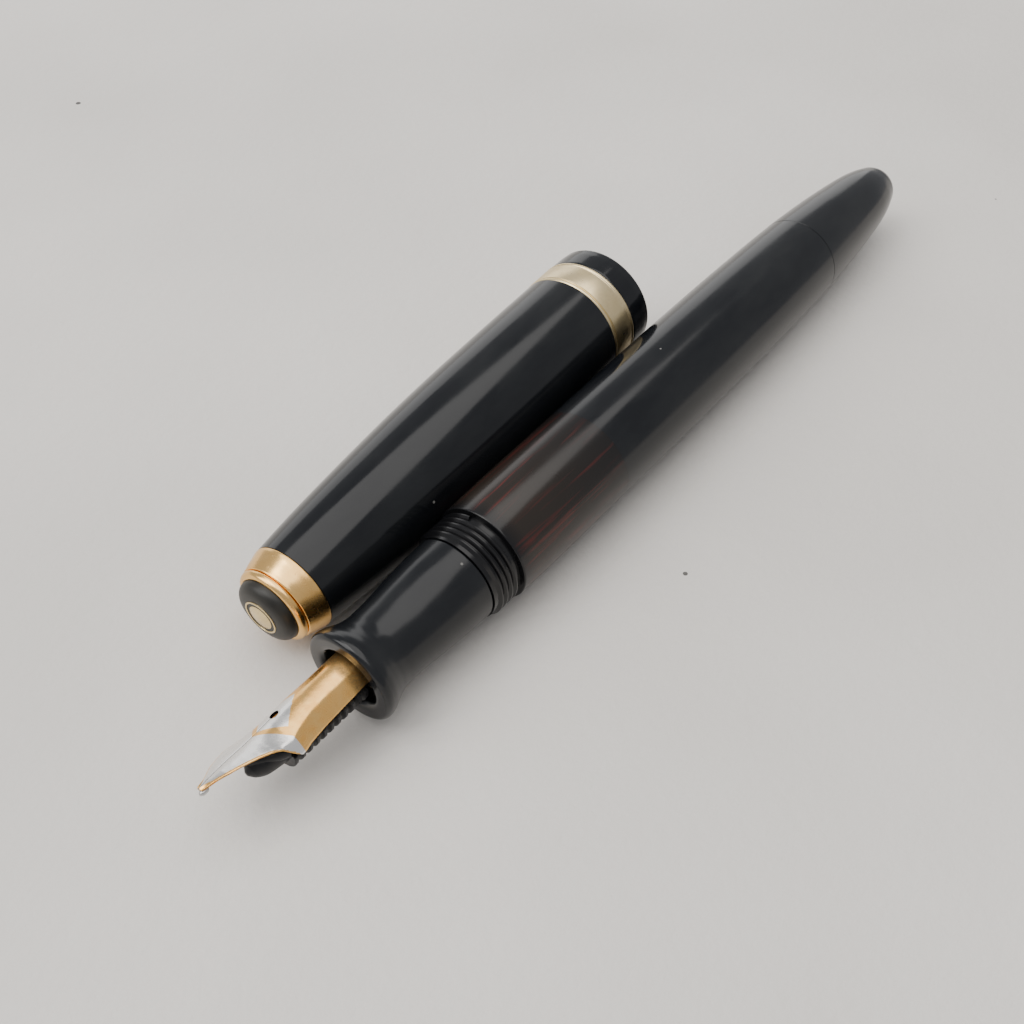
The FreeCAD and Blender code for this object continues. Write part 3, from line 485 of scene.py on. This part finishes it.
two_tone.relief(two_tone.maths("ADD", two_tone.maths("MULTIPLY", fine, 0.12), dents), 0.00004, 0.5)

sheet = nib_mesh()
# the rims of the tines keep the gold of the sheet; the walls of the breather hole and the slit are
# painted near-black as painted shade
rim = sheet.attributes.new("rim", "FLOAT", "FACE")
hole_slit_shade = sheet.attributes.new("hole_slit_shade", "FLOAT", "FACE")
to_nib = NIB.inverted()
for face in sheet.polygons:
    centre = to_nib @ face.center / MM
    normal = to_nib.to_3x3() @ face.normal
    edge_y, edge_z, crease_y, crease_z, ridge = between(NIB_SHAPE, centre.x)
    outward = Vector((0, math.copysign(edge_y - crease_y, centre.y), edge_z - crease_z))
    outward.normalize()
    reach = math.hypot(abs(centre.y) - edge_y, centre.z - edge_z)
    on_rim = reach < 0.24 or (reach < SHEET * 1.25 and normal.dot(outward) > 0.35)
    rim.data[face.index].value = 1.0 if on_rim and centre.x < 8.4 else 0.0
    # painted shade: faces on the walls of the hole and the slit are marked to be painted near-black
    from_hole = math.hypot(centre.x - HOLE, centre.y)
    in_hole = from_hole < HOLE_RADIUS + 0.06 and abs(normal.z) < 0.75
    in_slit = abs(centre.y) < SLIT and centre.x < HOLE and abs(normal.y) > 0.7
    hole_slit_shade.data[face.index].value = 1.0 if in_hole or in_slit else 0.0
new_piece("nib_plate", sheet, two_tone, "pen", ["nib"], 40.0)

# ------------------------------------------------------------------ nib tipping
# The tipping is a pellet of hard white alloy, fused under the ends of the tines and ground
# smooth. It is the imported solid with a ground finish.
tipping = Finish("tipping_alloy")
ground = tipping.noise(tipping.placed(PEN_TIP), 6000.0, 4.0)
tipping.join(tipping.blend(ground, (0.62, 0.61, 0.60, 1.0), (0.48, 0.47, 0.46, 1.0)), "Base Color")
tipping.shader.inputs["Metallic"].default_value = 1.0
tipping.join(tipping.span(ground, 0.3, 0.7, 0.28, 0.42), "Roughness")


def repaint(name, finish):
    """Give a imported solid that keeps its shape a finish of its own."""
    mesh = nodes[name].data
    mesh.materials.clear()
    mesh.materials.append(finish.material)


repaint("nib_tip", tipping)

# ------------------------------------------------------------------ feed
# The feed is black hard rubber: a round core under the nib, a comb of thin fins below it that
# holds spare ink, and a wedge that reaches forward under the tines.
FEED_TIP = 4.4
COMB_FRONT = 8.1
COMB_PITCH = 0.92
COMB_FINS = 11
FIN_THICK = 0.44
FIN_STEPS = 20
RUBBER = (0.004, 0.0042, 0.0052, 1.0)
RUBBER_DRY = (0.012, 0.012, 0.013, 1.0)
hard_rubber = Finish("feed_hard_rubber")
bloom = hard_rubber.noise(hard_rubber.placed(PEN_TIP), 900.0, 5.0, 0.65)
dry = hard_rubber.span(bloom, 0.35, 0.75)
hard_rubber.join(hard_rubber.blend(dry, RUBBER, RUBBER_DRY), "Base Color")
hard_rubber.join(hard_rubber.span(bloom, 0.3, 0.7, 0.30, 0.48), "Roughness")
hard_rubber.shader.inputs["Specular IOR Level"].default_value = 0.32
hard_rubber.relief(hard_rubber.noise(hard_rubber.placed(PEN_TIP), 5200.0, 4.0), 0.000008, 0.5)


def fin_plate():
    """One fin: a thin half-round plate with a softened rim, standing across the pen."""
    work = bmesh.new()
    outline = []
    for k in range(FIN_STEPS + 1):
        angle = math.radians(205 + 130 * k / FIN_STEPS)
        outline.append((2.56 * math.cos(angle), 2.50 * math.sin(angle)))
    outline += [(1.3, 0.2), (-1.3, 0.2)]
    front = [work.verts.new((-FIN_THICK / 2, y, z)) for y, z in outline]
    rear = [work.verts.new((FIN_THICK / 2, y, z)) for y, z in outline]
    work.faces.new(front)
    work.faces.new(rear[::-1])
    for k in range(len(outline)):
        n = (k + 1) % len(outline)
        work.faces.new((front[n], front[k], rear[k], rear[n]))
    bmesh.ops.recalc_face_normals(work, faces=work.faces)
    bmesh.ops.bevel(
        work, geom=list(work.edges), offset=0.06, segments=2, affect="EDGES", clamp_overlap=True
    )
    mesh = bpy.data.meshes.new("fin")
    work.to_mesh(mesh)
    work.free()
    return mesh


class Rule:
    """A Geometry Nodes tree with named inputs, built node by node."""

    def __init__(self, name, inputs):
        self.tree = bpy.data.node_groups.new(name, "GeometryNodeTree")
        self.ports = {}
        for label, kind, value in inputs:
            port = self.tree.interface.new_socket(label, in_out="INPUT", socket_type=kind)
            if value is not None:
                port.default_value = value
            self.ports[label] = port.identifier
        face = self.tree.interface
        face.new_socket("Geometry", in_out="OUTPUT", socket_type="NodeSocketGeometry")
        self.start = self.tree.nodes.new("NodeGroupInput")
        self.end = self.tree.nodes.new("NodeGroupOutput")

    def add(self, kind, inputs=None, **settings):
        return add_node(self.tree, kind, inputs, **settings)

    def given(self, label):
        return self.start.outputs[label]

    def maths(self, operation, first, second, **settings):
        inputs = {0: first, 1: second}
        return self.add("ShaderNodeMath", inputs, operation=operation, **settings).outputs[0]

    def close(self, geometry):
        real = self.add("GeometryNodeRealizeInstances", {0: geometry})
        inputs = {"Geometry": real.outputs[0], "Material": self.given("Material")}
        painted = self.add("GeometryNodeSetMaterial", inputs)
        self.tree.links.new(painted.outputs[0], self.end.inputs[0])

    def make(self, values):
        """Run the tree with these input values and return its plain mesh."""
        holder = bpy.data.objects.new("rule_work", bpy.data.meshes.new("empty"))
        bpy.context.scene.collection.objects.link(holder)
        modifier = holder.modifiers.new("rule", "NODES")
        modifier.node_group = self.tree
        for label, value in values.items():
            modifier[self.ports[label]] = value
        bpy.context.view_layer.update()
        return plain_mesh(holder)


fin_model = bpy.data.objects.new("fin_model", fin_plate())
comb = Rule("comb_fins", [
    ("Fin", "NodeSocketObject", None),
    ("Fins", "NodeSocketInt", 10),
    ("Front", "NodeSocketFloat", 8.0),
    ("Pitch", "NodeSocketFloat", 0.9),
    ("Material", "NodeSocketMaterial", None),
])
step = comb.add("ShaderNodeCombineXYZ", {0: comb.given("Pitch")})
begin = comb.add("ShaderNodeCombineXYZ", {0: comb.given("Front")})
row = comb.add("GeometryNodeMeshLine", {
    "Count": comb.given("Fins"), "Start Location": begin.outputs[0], "Offset": step.outputs[0],
})
model = comb.add("GeometryNodeObjectInfo", {"Object": comb.given("Fin")})
stood = {"Points": row.outputs[0], "Instance": model.outputs["Geometry"]}
comb.close(comb.add("GeometryNodeInstanceOnPoints", stood).outputs[0])
fins = comb.make({
    "Fin": fin_model, "Fins": COMB_FINS, "Front": COMB_FRONT + FIN_THICK / 2,
    "Pitch": COMB_PITCH, "Material": hard_rubber.material,
})
bpy.data.objects.remove(fin_model)
core_outline = (
    [(FEED_TIP, 0.0)]
    + smooth_line([
        (FEED_TIP + 0.02, 0.25), (FEED_TIP + 0.5, 0.85), (6.0, 1.42), (COMB_FRONT, 1.72),
    ], 5)
    + [(30.0, 1.78), (30.2, 1.7), (32.2, 1.7), (32.3, 1.6), (32.3, 0.0)]
)
core = turned(core_outline, Matrix.Identity(4), 64)
core.transform(Matrix.Scale(1 / MM, 4))
# the wedge in front of the comb: place from the tip, half width, lowest and highest height
WEDGE_STEPS = 24
SQUARED = 0.8
wedge = bmesh.new()
rows = []
for place, width, low_z, high_z in (
    (4.5, 0.40, 0.85, 1.40), (5.0, 0.85, 0.50, 1.45), (5.6, 1.25, 0.05, 1.35),
    (6.4, 1.62, -0.40, 1.15), (7.1, 1.90, -0.80, 0.9), (8.2, 2.1, -1.30, 0.6),
):
    ring = []
    for k in range(WEDGE_STEPS):
        angle = 2 * math.pi * k / WEDGE_STEPS
        y, up = math.cos(angle), math.sin(angle)
        ring.append(wedge.verts.new((
            place,
            width * math.copysign(abs(y) ** SQUARED, y),
            (low_z + high_z) / 2 + (high_z - low_z) / 2 * math.copysign(abs(up) ** SQUARED, up),
        )))
    rows.append(ring)
for front, rear in zip(rows, rows[1:]):
    for k in range(WEDGE_STEPS):
        n = (k + 1) % WEDGE_STEPS
        wedge.faces.new((front[k], front[n], rear[n], rear[k]))
wedge.faces.new(rows[0][::-1])
wedge.faces.new(rows[-1])
bmesh.ops.recalc_face_normals(wedge, faces=wedge.faces)
for part in (core, fins):
    wedge.from_mesh(part)
feed_mesh = bpy.data.meshes.new("feed")
wedge.to_mesh(feed_mesh)
wedge.free()
feed_mesh.transform(NIB @ Matrix.Scale(MM, 4))
new_piece("feed_comb", feed_mesh, hard_rubber, "pen", ["feed"], 35.0)

# ------------------------------------------------------------------ nib collar
# The collar is a thin clear sleeve that grips nib and feed and is pressed into the grip.
clear_resin = Finish("clear_moulded_resin")
haze = clear_resin.noise(clear_resin.placed(PEN_TIP), 420.0, 4.0)
smoky = clear_resin.blend(haze, (0.16, 0.135, 0.10, 1.0), (0.10, 0.085, 0.06, 1.0))
clear_resin.join(smoky, "Base Color")
clear_resin.join(clear_resin.span(haze, 0.3, 0.7, 0.12, 0.24), "Roughness")
clear_resin.relief(haze, 0.00001, 0.3)
repaint("nib_collar", clear_resin)

# ------------------------------------------------------------------ ink window
# Behind the grip a tube of smoky resin carries the cap's thread and then the ink window, where
# dark red stripes run lengthwise through brown. The tube fades to black towards the barrel.
THREAD_END = 37.4
WINDOW_END = 55.0
CREST = 5.47
ROOT = 5.13
PITCH = 0.75
BODY_LINE = [
    (THREAD_END + 0.2, 5.75), (42.0, 5.86), (48.0, 5.93), (WINDOW_END, 5.975), (65.0, 6.02),
    (75.0, 6.035), (85.0, 5.965), (93.0, 5.83), (100.6, 5.6), (107.5, 5.17), (112.5, 4.70),
    (116.5, 4.22), (119.0, 3.74), (121.2, 3.10),
]
body_line = smooth_line(BODY_LINE, 24)


def body_between(start, end):
    """The part of the pen's outer line from start to end."""
    inside = [(x, r) for x, r in body_line if start + 0.05 < x < end - 0.05]

    def at(place):
        for (x0, r0), (x1, r1) in zip(body_line, body_line[1:]):
            if x0 <= place <= x1:
                return r0 + (r1 - r0) * (place - x0) / (x1 - x0)
        return body_line[0][1] if place < body_line[0][0] else body_line[-1][1]

    return [(start, at(start))] + inside + [(end, at(end))]


striped = Finish("striped_window_resin")
here = striped.placed(PEN_TIP)
split = striped.add("ShaderNodeSeparateXYZ", {0: here})
flat = striped.add("ShaderNodeCombineXYZ", {1: split.outputs[1], 2: split.outputs[2]})
spoke = striped.add("ShaderNodeVectorMath", {0: flat.outputs[0]}, operation="NORMALIZE")
drift = striped.add("ShaderNodeCombineXYZ", {0: striped.maths("MULTIPLY", split.outputs[0], 9.0)})
both = {0: spoke.outputs[0], 1: drift.outputs[0]}
lengthwise = striped.add("ShaderNodeVectorMath", both, operation="ADD").outputs[0]
streak = striped.noise(lengthwise, 6.0, 2.0, 0.5)
thin = striped.noise(lengthwise, 15.0, 2.0, 0.5)
lines = striped.maths("MULTIPLY", striped.span(streak, 0.46, 0.62), striped.span(thin, 0.46, 0.60))
# in metres from the tip: the stripes start behind the thread and fade out under the barrel
starts = striped.span(split.outputs[0], 0.0375, 0.0395)
window = striped.maths("MULTIPLY", starts, striped.span(split.outputs[0], 0.043, 0.059, 1.0, 0.0))
brown = striped.blend(window, (0.0042, 0.0042, 0.0048, 1.0), (0.017, 0.0125, 0.0095, 1.0))
shown_red = striped.maths("MULTIPLY", lines, window)
striped.join(striped.blend(shown_red, brown, (0.075, 0.012, 0.010, 1.0)), "Base Color")
smear = striped.noise(striped.placed(PEN_TIP, (0.35, 1, 1)), 260.0, 5.0, 0.6)
striped.join(striped.span(smear, 0.3, 0.8, 0.13, 0.26), "Roughness")
striped.shader.inputs["IOR"].default_value = RESIN_IOR
striped.shader.inputs["Specular IOR Level"].default_value = RESIN_SHEEN
hair = striped.noise(striped.placed(PEN_TIP, (0.03, 1, 1)), 5200.0, 3.0, 0.7)
striped.relief(hair, 0.000003, 0.4)

# A screw thread: one ridge with sloping flanks and a narrow crest, wound round a tube.
thread = Rule("wound_thread", [
    ("Start", "NodeSocketFloat", 0.0),
    ("Length", "NodeSocketFloat", 4.0),
    ("Pitch", "NodeSocketFloat", 0.75),
    ("Root", "NodeSocketFloat", 5.0),
    ("Crest", "NodeSocketFloat", 5.4),
    ("Steps", "NodeSocketInt", 96),
    ("Material", "NodeSocketMaterial", None),
])
turns = thread.maths("DIVIDE", thread.given("Length"), thread.given("Pitch"))
wound = thread.add("GeometryNodeCurveSpiral", {
    "Resolution": thread.given("Steps"), "Rotations": turns, "Start Radius": thread.given("Root"),
    "End Radius": thread.given("Root"), "Height": thread.given("Length"), "Reverse": True,
})
rise = thread.maths("SUBTRACT", thread.given("Crest"), thread.given("Root"))
ridge = thread.add("GeometryNodeCurvePrimitiveQuadrilateral", mode="POINTS")
for number, (share, tall) in enumerate(((-0.46, 0.0), (-0.10, rise), (0.10, rise), (0.46, 0.0)), 1):
    wide = thread.maths("MULTIPLY", thread.given("Pitch"), share)
    point = thread.add("ShaderNodeCombineXYZ", {0: tall, 1: wide})
    thread.tree.links.new(point.outputs[0], ridge.inputs["Point %d" % number])
# the ridge fades in and out at its two ends, over one fourteenth of its length
along_wind = thread.add("GeometryNodeSplineParameter").outputs["Factor"]
run_in = thread.maths("MULTIPLY", along_wind, 14.0, use_clamp=True)
left_over = thread.maths("SUBTRACT", 1.0, along_wind)
run_out = thread.maths("MULTIPLY", left_over, 14.0, use_clamp=True)
fullness = thread.maths("MULTIPLY", run_in, run_out)
tapered = thread.add("GeometryNodeSetCurveRadius", {"Curve": wound.outputs[0], "Radius": fullness})
upright_curve = thread.add("GeometryNodeSetCurveNormal", {0: tapered.outputs[0]}, mode="Z_UP")
swept = thread.add("GeometryNodeCurveToMesh", {
    0: upright_curve.outputs[0], 1: ridge.outputs[0], "Fill Caps": True,
})
start = thread.add("ShaderNodeCombineXYZ", {0: thread.given("Start")})
laid = thread.add("GeometryNodeTransform", {
    0: swept.outputs[0], "Translation": start.outputs[0], "Rotation": (0.0, math.pi / 2, 0.0),
})
thread.close(laid.outputs[0])


def with_thread(tube, placement, values):
    """Add a wound ridge to a turned tube that is already in its place."""
    screw = bmesh.new()
    screw.from_mesh(thread.make(values))
    bmesh.ops.recalc_face_normals(screw, faces=screw.faces)
    screw.transform(placement @ Matrix.Scale(MM, 4))
    screw.from_mesh(tube)
    screw.to_mesh(tube)
    screw.free()
    return tube


window_outline = (
    [(GRIP_END, 4.22), (GRIP_END, ROOT), (THREAD_END - 0.1, ROOT), (THREAD_END, CREST)]
    + [(THREAD_END + 0.02, 5.6)]
    + corner(THREAD_END + 0.17, 5.6, 0.15, (180, 90), 4)
    + body_between(THREAD_END + 0.3, WINDOW_END)
    + [(WINDOW_END, 5.2), (WINDOW_END + 5, 5.2), (WINDOW_END + 5, 4.6)]
    + [(GRIP_END + 6.5, 4.6), (GRIP_END + 6.1, 4.22)]
)
window_tube = with_thread(turned(window_outline, PEN), PEN, {
    "Start": GRIP_END + 0.35, "Length": THREAD_END - GRIP_END - 0.75, "Pitch": PITCH,
    "Root": ROOT - 0.02, "Crest": CREST, "Steps": 96, "Material": striped.material,
})
new_piece("ink_window_tube", window_tube, striped, "pen", ["ink_window"], 25.0)

# ------------------------------------------------------------------ barrel
# The barrel is a black resin tube, fullest a little behind its middle, glued on the window's
# tenon in front and closed by the piston guide behind.
SEAM = 100.6
barrel_black = polished_black("barrel_black_resin", PEN_TIP, gloss=0.11)
barrel_outline = (
    body_between(WINDOW_END + 0.01, SEAM - 0.03)
    + [(SEAM, 5.57), (SEAM, 4.85), (85.5, 4.85), (85.5, 4.6)]
    + [(WINDOW_END + 5.1, 4.6), (WINDOW_END + 5.1, 5.22), (WINDOW_END + 0.01, 5.22)]
)
new_piece("barrel_tube", turned(barrel_outline, PEN), barrel_black, "pen", ["barrel"])

# ------------------------------------------------------------------ filling mechanism
# Inside the barrel a clear guide keeps the piston rod from turning, a brass four-start screw
# drives the rod, and a soft greased seal on the rod's head draws the ink.
brass = Finish("turned_brass")
rings = brass.noise(brass.placed(PEN_TIP, (1, 0.12, 0.12)), 5200.0, 3.0)
brass.join(brass.blend(rings, (0.60, 0.42, 0.17, 1.0), (0.44, 0.29, 0.10, 1.0)), "Base Color")
brass.shader.inputs["Metallic"].default_value = 1.0
brass.join(brass.span(rings, 0.3, 0.7, 0.22, 0.36), "Roughness")
brass.relief(rings, 0.000006, 0.4)
soft_seal = Finish("greased_seal")
grease = soft_seal.noise(soft_seal.placed(PEN_TIP), 700.0, 4.0)
amber = soft_seal.blend(grease, (0.16, 0.085, 0.04, 1.0), (0.24, 0.14, 0.07, 1.0))
soft_seal.join(amber, "Base Color")
soft_seal.join(soft_seal.span(grease, 0.3, 0.7, 0.30, 0.5), "Roughness")
soft_seal.relief(grease, 0.00002, 0.4)
spring_steel = Finish("spring_steel")
drawn = spring_steel.noise(spring_steel.placed(PEN_TIP), 3000.0, 4.0)
grey = spring_steel.blend(drawn, (0.46, 0.46, 0.47, 1.0), (0.33, 0.33, 0.34, 1.0))
spring_steel.join(grey, "Base Color")
spring_steel.shader.inputs["Metallic"].default_value = 1.0
spring_steel.join(spring_steel.span(drawn, 0.3, 0.7, 0.26, 0.40), "Roughness")
for name in ("piston_guide", "piston_rod", "piston_core", "piston_nut"):
    repaint(name, clear_resin)
for name in ("drive_spindle", "thrust_washer", "crown_screw", "crown_washer"):
    repaint(name, brass)
repaint("piston_seal", soft_seal)
repaint("retaining_ring", spring_steel)

# ------------------------------------------------------------------ turning knob
# The bullet-shaped tail is a separate black cup. It turns on the guide's spigot behind a seam
# as fine as a hair, and carries the drive screw.
knob_black = polished_black("knob_black_resin", PEN_TIP, gloss=0.13)
KNOB_FRONT = SEAM + 0.06
TAIL = 123.4
END_RADIUS = 3.284
END_STEPS = 16
tail_round = []
for k in range(1, END_STEPS + 1):
    angle = math.radians(70.4) * (1 - k / END_STEPS)
    place = TAIL - END_RADIUS + END_RADIUS * math.cos(angle)
    tail_round.append((place, END_RADIUS * math.sin(angle)))
knob_outline = (
    [(KNOB_FRONT, 5.56)]
    + body_between(KNOB_FRONT + 0.03, 121.2)
    + tail_round
    + [(120.2, 0.0), (120.2, 1.92), (116.0, 1.92), (116.0, 2.3), (108.0, 2.3), (108.0, 4.15)]
    + [(105.85, 4.15), (105.85, 4.37), (105.05, 4.37), (105.05, 4.15), (KNOB_FRONT, 4.15)]
)
new_piece("knob_cup", turned(knob_outline, PEN), knob_black, "knob", ["turning_knob"])

# ------------------------------------------------------------------ cap tube
# The cap is one black resin tube: tapered to the crown, straight towards the mouth, with a
# recess for the gold band and a thread inside the mouth.
CROWN = Vector((16.5 - 61.7, 11.625 - 7.41, 6.25)) * MM
YAW = math.radians(2.24)
TILT = math.radians(1.0)
CAP = Matrix.Translation(CROWN) @ Matrix.Rotation(YAW, 4, "Z") @ Matrix.Rotation(-TILT, 4, "Y")
MOUTH = 61.1
BAND_REAR = MOUTH - 3.5
BAND_FRONT = BAND_REAR - 4.0
cap_black = polished_black("cap_black_resin", CROWN, gloss=0.09, along=YAW)
cap_line = smooth_line([
    (5.52, 5.14), (8.0, 5.40), (11.5, 5.71), (14.5, 5.93), (18.0, 6.15), (22.0, 6.37),
    (27.0, 6.61), (32.0, 6.77), (38.0, 6.87), (46.0, 6.915), (BAND_FRONT, 6.91),
], 8)
cap_outline = (
    [(5.5, 1.92), (5.5, 5.08)] + cap_line
    + [(BAND_FRONT, 6.70), (BAND_REAR, 6.70), (BAND_REAR, 6.86)]
    + smooth_line([(BAND_REAR + 0.04, 6.88), (MOUTH - 1.4, 6.85), (MOUTH - 0.55, 6.78)], 6)
    + corner(MOUTH - 0.45, 6.35, 0.43, (78, 0), 8)
    + corner(MOUTH - 0.18, 6.08, 0.18, (0, -90), 5)
    + [(MOUTH - 0.3, 5.88), (MOUTH - 1.4, 5.88), (MOUTH - 1.55, 5.78), (MOUTH - 5.4, 5.78)]
    + [(MOUTH - 5.5, 5.62), (41.5, 5.62), (40.5, 4.44), (8.1, 4.44), (8.1, 1.92)]
)
cap_tube = with_thread(turned(cap_outline, CAP), CAP, {
    "Start": MOUTH - 5.2, "Length": 3.5, "Pitch": PITCH,
    "Root": 5.80, "Crest": 5.44, "Steps": 96, "Material": cap_black.material,
})
new_piece("cap_tube", cap_tube, cap_black, "cap", ["cap_shell"], 28.0)

# ------------------------------------------------------------------ cap band
# The band is a strip of worn gold plate let into the tube, flat in the middle, with a fine
# rolled bead and a groove along each edge. Years of rubbing have paled it.


def gold_plate(name, bright, dull, gloss, wear):
    """Gold plate: polished, with clouding, tiny scratches and darker spots of grime."""
    finish = Finish(name)
    cloud = finish.noise(finish.placed(CROWN), 330.0, 5.0, 0.62)
    rub = finish.noise(finish.placed(CROWN, (1, 0.10, 0.10), (0, 0, -YAW)), 5200.0, 3.0, 0.6)
    spots = finish.noise(finish.placed(CROWN), 1900.0, 4.0, 0.7)
    colour = finish.blend(finish.span(cloud, 0.32, 0.72), bright, dull)
    tarnish = finish.span(spots, 0.66, 0.76, 0.0, wear)
    colour = finish.blend(tarnish, colour, (0.17, 0.115, 0.055, 1.0))
    finish.join(colour, "Base Color")
    finish.shader.inputs["Metallic"].default_value = 1.0
    worn = finish.span(spots, 0.6, 0.78, 0.0, 0.2)
    rough = finish.maths("ADD", finish.span(cloud, 0.3, 0.75, gloss, gloss + 0.14), worn)
    finish.join(rough, "Roughness")
    finish.relief(finish.maths("ADD", finish.maths("MULTIPLY", rub, 0.6), cloud), 0.00001, 0.4)
    return finish


band_gold = gold_plate(
    "band_worn_gold", (0.88, 0.72, 0.43, 1.0), (0.66, 0.52, 0.28, 1.0), 0.26, 0.8
)
BEAD = 0.45
GROOVE = ((0.03, 6.83), (0.09, 6.83), (0.16, 6.94), (0.24, 6.955))
front = BAND_FRONT + 0.02
rear = BAND_REAR - 0.02
band_outline = (
    [(front, 6.72), (front, 6.85)]
    + corner(front + BEAD / 2, 6.735, BEAD / 2, (150, 30), 8)
    + [(front + BEAD + step, r) for step, r in GROOVE]
    + [(rear - BEAD - step, r) for step, r in GROOVE[::-1]]
    + corner(rear - BEAD / 2, 6.735, BEAD / 2, (150, 30), 8)
    + [(rear, 6.85), (rear, 6.72)]
)
new_piece("band_strip", turned(band_outline, CAP), band_gold, "cap", ["cap_band"], 28.0)

# ------------------------------------------------------------------ inner cap
# The liner seals on the lip of the grip when the pen is closed. It is plain black resin,
# left as it came from the lathe.
liner_black = polished_black(
    "liner_black_resin", CROWN, (0.006, 0.006, 0.007, 1.0), (0.013, 0.013, 0.014, 1.0), 0.32, YAW
)
repaint("inner_cap", liner_black)

# ------------------------------------------------------------------ crown
# The head of the cap: a wide tapered ring of polished gold, a rounded gold bead in front of
# it, and a low black dome with a gold ring and a plain domed stud let into its face.
ring_gold = gold_plate(
    "crown_polished_gold", (1.0, 0.63, 0.23, 1.0), (0.84, 0.48, 0.15, 1.0), 0.18, 0.45
)
ring_outline = (
    [(3.0, 3.2), (3.0, 4.36)]
    + corner(3.16, 4.36, 0.16, (180, 105), 4)
    + smooth_line([(3.3, 4.56), (3.9, 4.76), (4.6, 4.96), (5.1, 5.1), (5.34, 5.14)], 6)
    + corner(5.36, 5.0, 0.14, (85, 0), 4)
    + [(5.5, 3.2)]
)
new_piece("crown_band", turned(ring_outline, CAP), ring_gold, "cap", ["crown_ring"])
bead_outline = (
    [(2.98, 3.77), (2.98, 4.22), (2.93, 4.31), (2.84, 4.37), (2.72, 4.395), (2.58, 4.38)]
    + [(2.44, 4.33), (2.31, 4.25), (2.21, 4.14), (2.14, 4.02), (2.11, 3.9), (2.11, 3.77)]
)
new_piece("crown_bead", turned(bead_outline, CAP), ring_gold, "cap", ["finial_bezel"])
dome_black = polished_black(
    "dome_black_resin", CROWN, (0.010, 0.0094, 0.0078, 1.0), (0.026, 0.0245, 0.020, 1.0), 0.36, YAW
)
dome_outline = (
    [(1.35, 0.0), (1.35, 1.47), (0.77, 1.47), (0.775, 1.80), (1.2, 1.80), (1.2, 2.04)]
    + smooth_line([
        (0.80, 2.04), (0.86, 2.5), (0.98, 2.95), (1.22, 3.35), (1.58, 3.62), (1.95, 3.72),
        (2.2, 3.74),
    ], 6)
    + [(2.98, 3.73), (2.98, 3.18), (5.48, 3.18), (5.48, 1.9), (8.1, 1.9), (8.1, 1.05)]
    + [(3.5, 1.05), (3.2, 0.0)]
)
new_piece("crown_dome", turned(dome_outline, CAP), dome_black, "cap", ["finial"])
emblem_gold = gold_plate(
    "emblem_pale_gold", (0.84, 0.68, 0.38, 1.0), (0.70, 0.54, 0.27, 1.0), 0.20, 0.3
)
ring_face = [
    (1.18, 1.82), (0.74, 1.82), (0.705, 1.85), (0.69, 1.91), (0.705, 1.98), (0.74, 2.02),
    (1.18, 2.02),
]
new_piece("emblem_rim", turned(ring_face, CAP, 96), emblem_gold, "cap", ["emblem_ring"])
STUD = 1.45
STUD_STEPS = 10
stud_face = [(1.33, 0.0), (1.33, STUD)]
for k in range(STUD_STEPS + 1):
    t = 1 - k / STUD_STEPS
    stud_face.append((0.75 - 0.26 * (1 - t * t), STUD * t))
button = turned(stud_face, CAP, 96)
new_piece("emblem_button", button, emblem_gold, "cap", ["emblem_stud"])
